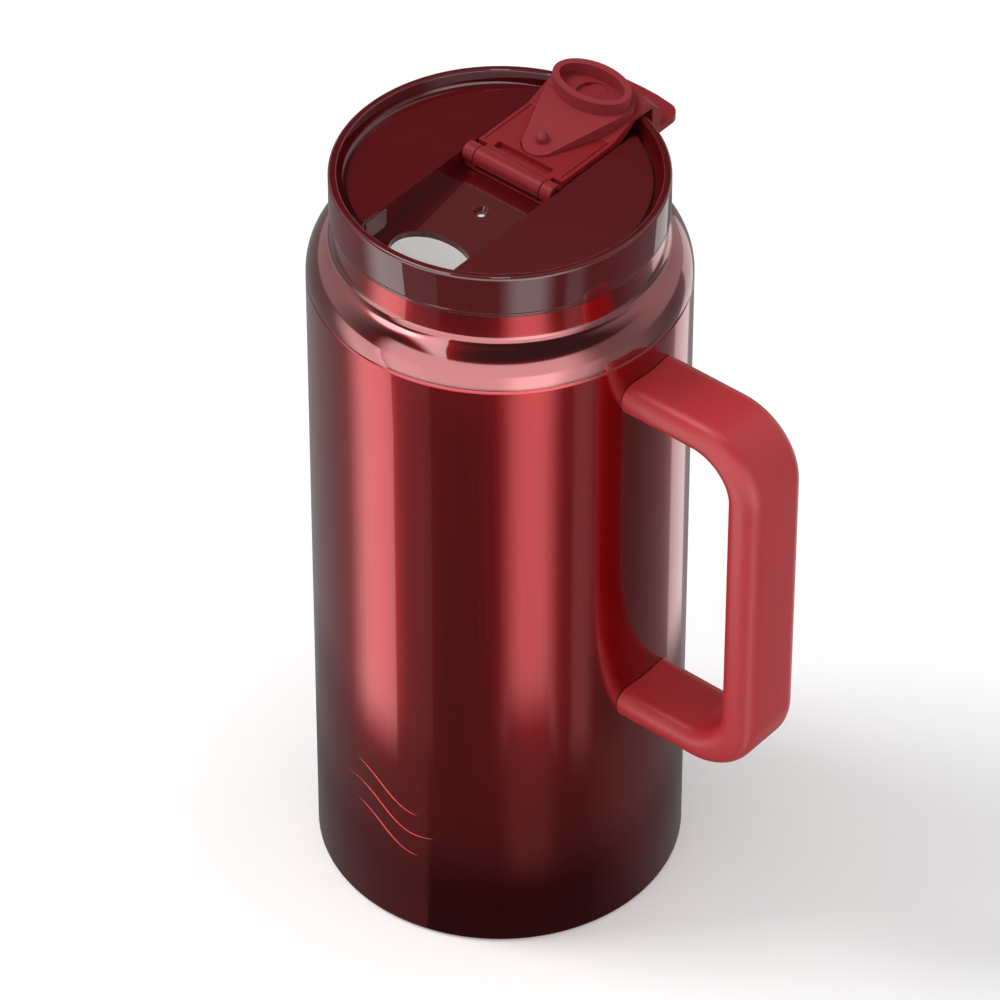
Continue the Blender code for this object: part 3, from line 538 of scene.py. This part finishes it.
def handle_section(outer, inner):
    """A rounded rectangle across the handle, between a point of its outer and inner side."""
    half = HANDLE_W / 2
    corner = [(cos(radians(a)), sin(radians(a))) for a in range(0, 91, 9)]
    (xo, zo), (xi, zi) = outer, inner
    depth = sqrt((xo - xi) ** 2 + (zo - zi) ** 2) / 2
    ux, uz = (xo - xi) / (2 * depth), (zo - zi) / (2 * depth)
    mx, mz = (xo + xi) / 2, (zo + zi) / 2
    section = []
    for sy, sd in ((1, 1), (-1, 1), (-1, -1), (1, -1)):
        for c, s in corner if sy * sd > 0 else reversed(corner):
            y = sy * (half - EDGE + EDGE * c)
            d = sd * (depth - EDGE + EDGE * s)
            section.append((mx + ux * d, y, mz + uz * d))
    return section


def build_handle():
    under = HANDLE_TOP - ARM
    outer = handle_path(HANDLE_X, HANDLE_TOP, HANDLE_LOW, BIG)
    inner = handle_path(HANDLE_X - GRIP, under, HANDLE_LOW + ARM, SMALL)
    grip = finish_mesh("grip", bridged(map(handle_section, outer, inner)), [GRIP_RED], 60)
    combine(grip, rod("Z", (0, 0), BODY_R + 0.15 * MM, 60 * MM, 215 * MM, 256), "DIFFERENCE")
    for low in (under, HANDLE_LOW):
        combine(grip, rod("Z", (SCREW_X, 0), SCREW_R, low - MM, low + SCREW_DEEP, 48), "DIFFERENCE")
    shade(grip.data, 50)
    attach(grip, "mug")
    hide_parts("handle_grip")


# ---- lid ----------------------------------------------------------------------------------

LID_R, LID_TOP, SKIRT_LOW, SKIRT_IN, RIM_IN = 47.3 * MM, 244.2 * MM, 230.7 * MM, 45.8 * MM, 44.85 * MM
SKIRT_EDGE, SKIRT_LINE_Z, SKIRT_LINE = 0.4 * MM, 231.9 * MM, 0.15 * MM
RIM_OUT_R, RIM_IN_R = 0.9 * MM, 0.6 * MM
DECK_R, DECK_Z, GROOVE_Z, SEAT_Z = 42.1 * MM, 240.8 * MM, 239.2 * MM, 232.8 * MM
RIDGE_Z, DECK_PEAK, DECK_EAVE = 241.9 * MM, 242.1 * MM, 239.1 * MM
CHANNEL, FLOOR_Z, FLOOR_RISE, BACK_Z = 16.0 * MM, 235.2 * MM, 0.122, 235.8 * MM
SLEEVE_IN = 41.4 * MM
HINGE_Y, HINGE_Z, BARREL_R, BARREL_HALF, LUG_END = 5.0 * MM, 240.3 * MM, 2.9 * MM, 11.6 * MM, 15.6 * MM
PIN_R, PIN_HALF = 1.5 * MM, 18 * MM
SIP_Y, SIP_X, SIP_HALF = -29.6 * MM, 13.2 * MM, 8.4 * MM
VENT_Y, VENT_R, VENT_MOUTH_R = -8.0 * MM, 1.3 * MM, 3.1 * MM
SNAP_Y0, SNAP_Y1, SNAP_LOW = -38.2 * MM, -29.5 * MM, 234.6 * MM


def channel_side(drop, top, reach):
    """Side view of the channel's space down to its floor, which slopes to the sip hole."""
    level = (BACK_Z - FLOOR_Z) / FLOOR_RISE
    return [(-reach, FLOOR_Z - FLOOR_RISE * reach - drop), (level, BACK_Z - drop), (reach, BACK_Z - drop),
            (reach, top), (-reach, top)]


def lid_outline():
    """The lid as if it had no channel, with a full disc for its deck."""
    seat_top, seat_in = DECK_Z - 2.4 * MM, SLEEVE_IN - 0.4 * MM
    outline = [(0, RIDGE_Z), (0, seat_top), (seat_in, seat_top), (seat_in, SEAT_Z), (SKIRT_IN, SEAT_Z),
               (SKIRT_IN, SKIRT_LOW), (LID_R - SKIRT_EDGE, SKIRT_LOW)]
    outline += arc(LID_R - SKIRT_EDGE, SKIRT_LOW + SKIRT_EDGE, SKIRT_EDGE, SKIRT_EDGE, -90, 0, 4)[1:]
    outline += [(LID_R, SKIRT_LINE_Z - SKIRT_LINE), (LID_R - SKIRT_LINE, SKIRT_LINE_Z),
                (LID_R, SKIRT_LINE_Z + SKIRT_LINE)]
    outline += arc(LID_R - RIM_OUT_R, LID_TOP - RIM_OUT_R, RIM_OUT_R, RIM_OUT_R, 0, 90, 8)
    outline += arc(RIM_IN + RIM_IN_R, LID_TOP - RIM_IN_R, RIM_IN_R, RIM_IN_R, 90, 180, 6)
    outline += arc(DECK_R + 0.35 * MM, GROOVE_Z + 2.2 * MM, 2.0 * MM, 2.2 * MM, 0, -90, 8)
    return outline + [(DECK_R, GROOVE_Z), (DECK_R, RIDGE_Z)]


def cut_deck(lid):
    """Slope the deck down from its middle line to both sides."""
    reach, over = 60 * MM, 250 * MM
    above = [(-reach, DECK_EAVE), (0, DECK_PEAK), (reach, DECK_EAVE), (reach, over), (-reach, over)]
    waste = finish_mesh("work", prism(above, "Y", -reach, reach), [])
    combine(waste, rod("Z", (0, 0), DECK_R + 0.05 * MM, 230 * MM, 255 * MM, TURN), "INTERSECT")
    combine(lid, waste, "DIFFERENCE")


def cut_channel(lid):
    """Add the channel's walls and floor below the deck, then take out its space."""
    outer = CHANNEL + 1.6 * MM
    walls = channel_side(2.0 * MM, DECK_Z - 0.8 * MM, 42 * MM)
    tub = finish_mesh("work", prism(walls, "X", -outer, outer), [])
    combine(tub, rod("Z", (0, 0), SLEEVE_IN - 0.45 * MM, 220 * MM, 250 * MM, TURN), "INTERSECT")
    combine(lid, tub, "UNION")
    space = finish_mesh("work", prism(channel_side(0.0, 250 * MM, 46 * MM), "X", -CHANNEL, CHANNEL), [])
    low, bend, high, inner = 222 * MM, 233 * MM, 252 * MM, 39.4 * MM
    bowl = [(0, low), (inner, low), (inner, bend), (RIM_IN - 0.55 * MM, 238.6 * MM),
            (RIM_IN - 0.25 * MM, high), (0, high)]
    combine(space, turned(bowl), "INTERSECT")
    combine(lid, space, "DIFFERENCE")


def cut_holes(lid):
    """The oval to drink from, and the vent with its countersunk mouth."""
    combine(lid, prism(oval(0, SIP_Y, SIP_X, SIP_HALF, OVAL), "Z", 222 * MM, 238 * MM), "DIFFERENCE")
    z = FLOOR_Z + FLOOR_RISE * VENT_Y
    low = z - 4 * MM
    vent = turned([(0, z + MM), (VENT_MOUTH_R, z + MM), (VENT_R, z - 0.8 * MM), (VENT_R, low), (0, low)], 48)
    combine(lid, moved(vent, (0, VENT_Y, 0)), "DIFFERENCE")


def build_lid():
    lid = finish_mesh("lid_body", turned(lid_outline()), [LID_RED])
    cut_deck(lid)
    cut_channel(lid)
    cut_holes(lid)
    merge_flats(lid)
    soften(lid, 0.30 * MM)
    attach(rename(lid, "lid_body"), "lid")
    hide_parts("lid_shell")


def build_snap_lugs():
    """The two catches on the channel's walls that hold the closed cap."""
    high = DECK_Z - 0.3 * MM
    patch = rounded([(SNAP_Y0, SNAP_LOW), (SNAP_Y1, SNAP_LOW), (SNAP_Y1, high), (SNAP_Y0, high)],
                    [0.4 * MM, 2.0 * MM, 0.4 * MM, 0.4 * MM], 8)
    for side, name in ((-1, "left"), (1, "right")):
        x0, x1 = sorted((side * (CHANNEL - 0.5 * MM), side * (CHANNEL + 0.8 * MM)))
        lug = finish_mesh(f"snap_lug_{name}", prism(patch, "X", x0, x1), [PATCH])
        soften(lug, 0.25 * MM, 40)
        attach(rename(lug, f"snap_lug_{name}"), "lid")


def build_hinge():
    y0, y1 = HINGE_Y - 1.7 * MM, HINGE_Y + 1.7 * MM
    low = FLOOR_Z + FLOOR_RISE * HINGE_Y + 0.1 * MM
    axis = (HINGE_Y, HINGE_Z)
    seat = block(-LUG_END, LUG_END, y0, y1, low, HINGE_Z - BARREL_R - 1.1 * MM)
    base = finish_mesh("hinge_seat", seat, [CAP_RED])
    for side in (-1, 1):
        x0, x1 = sorted((side * (BARREL_HALF + GAP), side * LUG_END))
        combine(base, rod("X", axis, BARREL_R, x0, x1), "UNION")
        combine(base, block(x0, x1, y0, y1, low, HINGE_Z), "UNION")
    combine(base, rod("X", axis, PIN_R, -PIN_HALF, PIN_HALF), "DIFFERENCE")
    merge_flats(base)
    soften(base, 0.3 * MM, 40)
    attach(rename(base, "hinge_seat"), "lid")
    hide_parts("hinge_bracket")


# ---- flip cap, open as it lies at rest ----------------------------------------------------

PLATE_TOP, PLATE_LOW, CAP_HALF = 242.3 * MM, 239.6 * MM, 15.0 * MM
RAMP_Y, CREST_Y, CREST_Z = 30.0 * MM, 47.2 * MM, 248.2 * MM
RISER_IN, RISER_R, CREST_R = 47.9 * MM, 44.3 * MM, 39.1 * MM
TIP_Y, TAB_TOP, TAB_LOW, TAB_CORNER = 62.2 * MM, 236.1 * MM, 233.8 * MM, 4.5 * MM
PLUG_Y, PLUG_X, PLUG_HALF, PLUG_WALL, PLUG_TOP = 39.6 * MM, 12.8 * MM, 7.5 * MM, 2.0 * MM, 251.3 * MM
PLUG_LOW, RECESS_Z, DIMPLE_Z, DIMPLE_R = 246.6 * MM, 247.6 * MM, 246.6 * MM, 4.6 * MM
NUB_Y, NUB_R, NUB_Z, PAD_Z, PAD_RISE, PLUG_RISE = 18.0 * MM, 1.8 * MM, 244.6 * MM, 243.6 * MM, 0.181, 0.10
POCKET, POCKET_START, POCKET_END, POCKET_RISE = 1.2 * MM, 9.0 * MM, 29.0 * MM, 1.5 * MM
SLOT_HALF, SLOT_LONG, SLOT_DEEP = 9.8 * MM, 2.9 * MM, 1.6 * MM
LINE_IN, LINE_OUT, LINE_DEEP = 13.5 * MM, 13.9 * MM, 0.3 * MM
ROOT = HINGE_Y + BARREL_R + 0.7 * MM
ASIDE, OVER = 20 * MM, 256 * MM          # past the cap's sides and over its top, for cutters


def ramp(y):
    """Height of the cap's slope, between the plate and the crest."""
    return PLATE_TOP + (CREST_Z - PLATE_TOP) * (y - RAMP_Y) / (CREST_Y - RAMP_Y)


def teardrop(grow=0.0, steps=40):
    """Plan of the soft pad: a small circle at the nub and an oval round the plug."""
    radius = 5.6 * MM + grow
    points = arc(0, NUB_Y, radius, radius, 180, 360, steps)
    points += arc(0, PLUG_Y, PLUG_X + 1.2 * MM + grow, PLUG_HALF + 0.9 * MM + grow, -90, 270, 2 * steps)[:-1]
    return [points[i] for i in convex_hull_2d(points)]


def cap_plan():
    """Plan of the cap, with the tab's round corners and slightly bowed tip."""
    tip, bow, bow_x = TIP_Y - 0.9 * MM, TIP_Y - 0.15 * MM, 0.35 * CAP_HALF
    plan = [(-CAP_HALF, 0.0), (CAP_HALF, 0.0)]
    plan += arc(CAP_HALF - TAB_CORNER, tip - TAB_CORNER, TAB_CORNER, TAB_CORNER, 0, 82, 14)
    plan += [(bow_x, bow), (0, TIP_Y), (-bow_x, bow)]
    return plan + arc(-CAP_HALF + TAB_CORNER, tip - TAB_CORNER, TAB_CORNER, TAB_CORNER, 98, 180, 14)


def cap_pocket():
    """Cutter for the shallow seat of the soft pad."""
    pocket = finish_mesh("work", prism(teardrop(GAP), "Z", 235 * MM, OVER), [])
    low, high, end = PLATE_TOP - POCKET, PLATE_TOP + 2 * MM, POCKET_END + POCKET_RISE
    side = [(POCKET_START, low), (POCKET_END, low), (end, PLATE_TOP + GAP), (end, high), (POCKET_START, high)]
    combine(pocket, prism(side, "X", -ASIDE, ASIDE), "INTERSECT")
    return pocket


def build_cap():
    under_rim = LID_TOP + 0.4 * MM
    mirror = 2 * HINGE_Y
    back = mirror + RISER_R
    axis = (HINGE_Y, HINGE_Z)
    side_view = [(ROOT, PLATE_LOW), (33.0 * MM, PLATE_LOW), (40.5 * MM, under_rim), (RISER_IN, under_rim),
                 (RISER_IN, TAB_LOW), (TIP_Y, TAB_LOW), (TIP_Y, TAB_TOP), (back, TAB_TOP),
                 (back, CREST_Z - (back - CREST_Y)), (CREST_Y, CREST_Z), (RAMP_Y, PLATE_TOP),
                 (ROOT, PLATE_TOP)]
    cap = finish_mesh("cap", prism(side_view, "X", -CAP_HALF, CAP_HALF), [CAP_RED])
    # the riser and crest curve round the axis that the mug's own has when the cap is closed
    far, high = 60 * MM, 260 * MM
    space = turned([(RISER_R, TAB_TOP), (far, TAB_TOP), (far, high), (CREST_R, high), (CREST_R, 247.33 * MM),
                    (RISER_R, 241.73 * MM)])
    combine(cap, moved(space, (0, mirror, 0)), "DIFFERENCE")
    combine(cap, prism(cap_plan(), "Z", 230 * MM, 252 * MM), "INTERSECT")
    combine(cap, rod("X", axis, BARREL_R, -BARREL_HALF, BARREL_HALF), "UNION")
    combine(cap, block(-BARREL_HALF, BARREL_HALF, HINGE_Y, ROOT + MM, PLATE_LOW, PLATE_TOP), "UNION")
    combine(cap, block(-SLOT_HALF, SLOT_HALF, ROOT + 0.1 * MM, ROOT + SLOT_LONG, PLATE_TOP - SLOT_DEEP,
                       PLATE_TOP + MM), "DIFFERENCE")
    combine(cap, rod("X", axis, PIN_R, -PIN_HALF, PIN_HALF), "DIFFERENCE")
    combine(cap, cap_pocket(), "DIFFERENCE")
    for side in (-1, 1):
        x0, x1 = sorted((side * LINE_IN, side * LINE_OUT))
        line = block(x0, x1, ROOT + 1.2 * MM, RAMP_Y, PLATE_TOP - LINE_DEEP, PLATE_TOP + MM)
        combine(cap, line, "DIFFERENCE")
    merge_flats(cap)
    soften(cap, 0.35 * MM)
    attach(rename(cap, "cap_body"), "cap")
    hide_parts("flip_cap")


def pad_line(y):
    return PAD_Z + PAD_RISE * (y - NUB_Y)


def plug_line(y):
    return PLUG_TOP + PLUG_RISE * (y - PLUG_Y)


def plug_ring():
    """The plug before it is hollowed: an oval with a sloping top, cut down over the crest."""
    ring = finish_mesh("work", prism(oval(0, PLUG_Y, PLUG_X, PLUG_HALF, OVAL), "Z", PLUG_LOW, OVER), [])
    y0, y1, low = PLUG_Y - 12 * MM, PLUG_Y + 12 * MM, 240 * MM
    combine(ring, prism([(y0, low), (y1, low), (y1, plug_line(y1)), (y0, plug_line(y0))], "X", -ASIDE, ASIDE),
            "INTERSECT")
    crest = block(-ASIDE, ASIDE, CREST_Y - 6 * MM, CREST_Y + 6 * MM, low, CREST_Z + 0.4 * MM)
    combine(ring, crest, "DIFFERENCE")
    return ring


def build_pad():
    start, rise, end = POCKET_START, POCKET_END + POCKET_RISE, 50.0 * MM
    under, over_ramp, foot = PLATE_TOP - POCKET + GAP, 0.1 * MM, PAD_Z - 0.4 * MM
    side_view = [(start, under), (POCKET_END - GAP, under), (rise, ramp(rise) + over_ramp),
                 (end, ramp(end) + over_ramp), (end, pad_line(end) + 0.5 * MM), (NUB_Y, PAD_Z),
                 (start, pad_line(start))]
    pad = finish_mesh("pad", prism(teardrop(), "Z", 240 * MM, OVER), [PAD_RED])
    combine(pad, prism(side_view, "X", -ASIDE, ASIDE), "INTERSECT")
    combine(pad, plug_ring(), "UNION")
    recess = oval(0, PLUG_Y, PLUG_X - PLUG_WALL, PLUG_HALF - PLUG_WALL, OVAL)
    combine(pad, prism(recess, "Z", RECESS_Z, OVER), "DIFFERENCE")
    combine(pad, rod("Z", (0, PLUG_Y), DIMPLE_R, DIMPLE_Z, 250 * MM), "DIFFERENCE")
    nub = arc(0, NUB_Z, NUB_R, NUB_R, 90, 0, 12) + [(NUB_R, foot), (0, foot)]
    combine(pad, moved(turned(nub, 48), (0, NUB_Y, 0)), "UNION")
    merge_flats(pad)
    soften(pad, 0.65 * MM, segments=4)
    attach(rename(pad, "pad"), "cap")
    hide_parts("sip_seal")


# ---- carried CAD nodes --------------------------------------------------------------------

NODE_LOOKS = {
    "outer_base": STEEL, "base_cover": STEEL, "upper_screw": STEEL, "lower_screw": STEEL,
    "vacuum_seal": STEEL_DARK, "getter": STEEL_DARK, "handle_core": STEEL_DARK, "hinge_pin": STEEL_DARK,
    "upper_bracket": STEEL_DARK, "lower_bracket": STEEL_DARK, "liner_bottom": STEEL_SOFT,
    "lid_gasket": PAD_RED, "lid_thread_ring": LID_RED,
}


def dress_frame():
    for name, mat in NODE_LOOKS.items():
        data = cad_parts[name].data
        for k in range(len(data.materials)):
            data.materials[k] = mat


# ---- stage --------------------------------------------------------------------------------
# The camera is as far away as the photograph's flat perspective needs. The lights and panels
# are fixed in the room, and set out from the side that the camera stands on.

CAMERA_TURN = 40.0            # degrees round the mug, from -Y towards +X, to the camera's side
CAMERA_PLACE, CAMERA_AIM, CAMERA_LENS = (0.9230, -1.1000, 1.37835), (0, 0, 0.12397), 240.1
FLOOR_REACH = 6.0
KEY_PLACE, KEY_STRENGTH, KEY_SPREAD = (-0.80, -0.52, 1.25), 1.5, 22
KEY_GLOW = Vector((-0.80, -0.52, 1.50)).normalized()
INSIDE_Z, INSIDE_SIZE, INSIDE_POWER = 0.205, 0.05, 0.16


def add_to_scene(name, data):
    obj = bpy.data.objects.new(name, data)
    bpy.context.scene.collection.objects.link(obj)
    return obj


def build_camera():
    data = bpy.data.cameras.new("camera")
    data.lens = CAMERA_LENS
    data.sensor_width = 36.0
    data.clip_start, data.clip_end = 0.05, 50.0
    camera = add_to_scene("camera", data)
    camera.location = CAMERA_PLACE
    camera.rotation_euler = (Vector(CAMERA_AIM) - camera.location).to_track_quat("-Z", "Y").to_euler()
    bpy.context.scene.camera = camera


def build_floor():
    """A pale floor that gloss doesn't see; the panels and the ground shade stand in for it."""
    bm = bmesh.new()
    corners = ((-1, -1), (1, -1), (1, 1), (-1, 1))
    bm.faces.new([bm.verts.new((x * FLOOR_REACH, y * FLOOR_REACH, 0)) for x, y in corners])
    floor = finish_mesh("floor", bm, [FLOOR])
    floor.visible_glossy = False


def build_key_light():
    """The sun lamp, which gloss doesn't see; the world's key glow is its softer reflection."""
    data = bpy.data.lights.new("key", "SUN")
    data.energy = KEY_STRENGTH
    data.angle = radians(KEY_SPREAD)
    light = add_to_scene("key", data)
    light.rotation_euler = (-Vector(KEY_PLACE)).to_track_quat("-Z", "Y").to_euler()
    light.visible_glossy = False


def build_inside_light():
    """A small lamp under the lid, shining down, so that the liner shows through the sip hole."""
    data = bpy.data.lights.new("inside", "AREA")
    data.size = INSIDE_SIZE
    data.energy = INSIDE_POWER
    light = add_to_scene("inside", data)
    light.location = (0, 0, INSIDE_Z)
    light.visible_camera = False


def ground_glow(numbers, x, y):
    """Strength and clearness of the ground shade at a place on the floor."""
    radius = numbers.math("POWER", numbers.plus(numbers.times(x, x), numbers.times(y, y)), 0.5)

    def beyond(turn, heading):
        """Distance past a line that leaves the wall at one turn and runs off at another."""
        start = radians(CAMERA_TURN - 90 + turn)
        run = radians(CAMERA_TURN - 90 + heading)
        nx, ny = -sin(run), cos(run)
        offset = BODY_R * (nx * cos(start) + ny * sin(start))
        return numbers.math("SUBTRACT", numbers.dot((x, y), (nx, ny)), offset)

    left = numbers.step(beyond(-23.5, -45), 0.4 * MM, -0.4 * MM)
    right = numbers.step(beyond(24, 48), 0.0, 45 * MM)
    ahead = numbers.times(numbers.step(beyond(0, 0), -2 * MM, 14 * MM),
                          numbers.step(beyond(16, 32), 8 * MM, -8 * MM))
    away = (72 * MM, 95 * MM)
    strength = numbers.plus(numbers.step(radius, *away, 0.05, 0.10), numbers.times(left, 0.08),
                            numbers.times(right, 0.07),
                            numbers.times(ahead, numbers.step(radius, *away), 0.10))
    edge = numbers.math("SUBTRACT", radius, numbers.times(ahead, 27 * MM))
    return strength, numbers.step(edge, 114 * MM, 142 * MM)


def build_ground_shade():
    """A dim disc round the foot that only gloss sees, so the wall darkens towards the base."""
    mat = bpy.data.materials.new("ground_shade")
    mat.use_nodes = True
    mat.node_tree.nodes.clear()
    x, y, _ = coordinates(mat, "Object")
    strength, clearness = ground_glow(Numbers(mat), x, y)
    glow = node(mat, "ShaderNodeEmission")
    link(mat, strength, glow.inputs["Strength"])
    clear = node(mat, "ShaderNodeBsdfTransparent")
    mixed = mixed_shader(mat, clearness, glow.outputs[0], clear.outputs[0])
    link(mat, mixed, node(mat, "ShaderNodeOutputMaterial").inputs["Surface"])
    reach, depth = 0.18, -0.5 * MM
    bm = bmesh.new()
    bm.faces.new([bm.verts.new((px, py, depth)) for px, py in oval(0, 0, reach, reach, 36)])
    disc = finish_mesh("ground_shade", bm, [mat])
    disc.visible_camera = False
    disc.visible_diffuse = False
    disc.visible_shadow = False


def mixed_shader(owner, factor, first, second):
    made = node(owner, "ShaderNodeMixShader")
    for socket, source in zip(made.inputs, (factor, first, second)):
        link(owner, source, socket)
    return made.outputs[0]


# strength of each panel below the horizon, and the turns over which it rises and falls
LOW_PANELS = (
    (1.45, -106, -84, -67.5, -66.5),
    (0.15, -181, -180, -42.5, -41.5),
    (1.2, -3, 14, 24, 39),
    (0.30, 42, 47, 52, 62),
    (0.12, 70, 125, 180, 181),
    (0.8, 126, 128, 151, 152),
)


def gloss_level(numbers, direction, along, side, turn, behind, rear):
    """What reflections see in a direction: a dim sky, soft boxes and the panels below it."""
    z = direction[2]
    ahead = numbers.inverse(numbers.step(numbers.math("ABSOLUTE", turn), 70, 110))
    above = numbers.step(z, -0.04, 0.05)
    below = numbers.inverse(numbers.step(z, -0.04, 0.0))
    level = numbers.dimmed(numbers.times(above, 0.60), behind, 0.97)
    level = numbers.plus(level, numbers.times(rear, numbers.step(z, 0.65, 0.70), 0.12))
    level = numbers.dimmed(level, ahead, 0.93)
    # a bright band along the horizon on the camera's side, weaker to the right
    band = numbers.times(numbers.step(z, -0.56, -0.48), numbers.inverse(numbers.step(z, 0.48, 0.56)))
    band = numbers.dimmed(band, numbers.step(turn, 34, 58), 0.82)
    level = numbers.plus(level, numbers.times(band, numbers.step(turn, -73, -60), ahead, 1.8))
    # a tall box on the left, with a straight edge towards the middle
    past_edge = numbers.math("SUBTRACT", numbers.times(side, -1.0), numbers.dot((along, z), (0.439, 0.221)))
    tall = numbers.times(numbers.step(past_edge, 0.0, 0.012), numbers.step(side, -0.62, -0.50),
                         numbers.step(z, 0.45, 0.60), numbers.step(along, -0.1, 0.05))
    level = numbers.plus(level, numbers.times(tall, 2.4))
    # a small bright lamp overhead, for glints on rounded rims
    narrow = numbers.inverse(numbers.step(numbers.math("ABSOLUTE", side), 0.045, 0.06))
    lamp = numbers.times(numbers.step(z, 0.984, 0.987), narrow, numbers.step(along, 0.0, 0.02))
    level = numbers.plus(level, numbers.times(lamp, 9.0))
    # the key light as gloss sees it
    toward = numbers.dot(direction, KEY_GLOW)
    level = numbers.plus(level, numbers.times(numbers.step(toward, cos(radians(15)), cos(radians(8))), 4.0))
    for strength, rise_from, rise_to, fall_from, fall_to in LOW_PANELS:
        panel = numbers.times(numbers.step(turn, rise_from, rise_to),
                              numbers.inverse(numbers.step(turn, fall_from, fall_to)), below, strength)
        level = numbers.plus(level, panel)
    return numbers.plus(level, numbers.times(numbers.inverse(above), 0.08), 0.02)


def dome_level(numbers, z, behind):
    """What matt surfaces are lit by: a soft dome, a little weaker at the top and behind."""
    level = numbers.times(numbers.step(z, -0.05, 0.30), 0.95)
    level = numbers.dimmed(level, numbers.step(z, 0.55, 0.90), 0.18)
    return numbers.plus(numbers.dimmed(level, behind, 0.65), 0.05)


def build_world():
    """Soft panels for gloss, a soft dome for matt surfaces, and white for the camera."""
    world = bpy.data.worlds.new("studio")
    bpy.context.scene.world = world
    world.use_nodes = True
    world.node_tree.nodes.clear()
    numbers = Numbers(world)
    x, y, z = coordinates(world, "Generated")
    # level directions, towards the camera's side and to its right
    turn_x, turn_y = sin(radians(CAMERA_TURN)), -cos(radians(CAMERA_TURN))
    along = numbers.dot((x, y), (turn_x, turn_y))
    side = numbers.dot((x, y), (-turn_y, turn_x))
    # degrees from the camera's side, positive to its right
    turn = numbers.times(numbers.math("ARCTAN2", side, along), 180 / pi)
    rear = numbers.times(numbers.step(numbers.math("ABSOLUTE", turn), 125, 150),
                         numbers.inverse(numbers.step(z, 0.90, 0.97)))
    behind = numbers.times(rear, numbers.step(z, 0.30, 0.45))

    def background(strength):
        made = node(world, "ShaderNodeBackground")
        made.inputs["Color"].default_value = (1, 1, 1, 1)
        made.inputs["Strength"].default_value = 1.0
        if strength is not None:
            link(world, strength, made.inputs["Strength"])
        return made.outputs[0]

    path = node(world, "ShaderNodeLightPath")
    matt = background(dome_level(numbers, z, behind))
    gloss = background(gloss_level(numbers, (x, y, z), along, side, turn, behind, rear))
    lit = mixed_shader(world, path.outputs["Is Glossy Ray"], matt, gloss)
    lit = mixed_shader(world, path.outputs["Is Camera Ray"], lit, background(None))
    link(world, lit, node(world, "ShaderNodeOutputWorld").inputs["Surface"])


def build_stage():
    build_floor()
    build_world()
    build_key_light()
    build_ground_shade()
    build_inside_light()
    bpy.context.scene.view_settings.view_transform = "Standard"


build_camera()
build_stage()
dress_frame()
build_body()
build_lip_coat()
build_liner()
build_handle()
build_lid()
build_snap_lugs()
build_hinge()
build_cap()
build_pad()
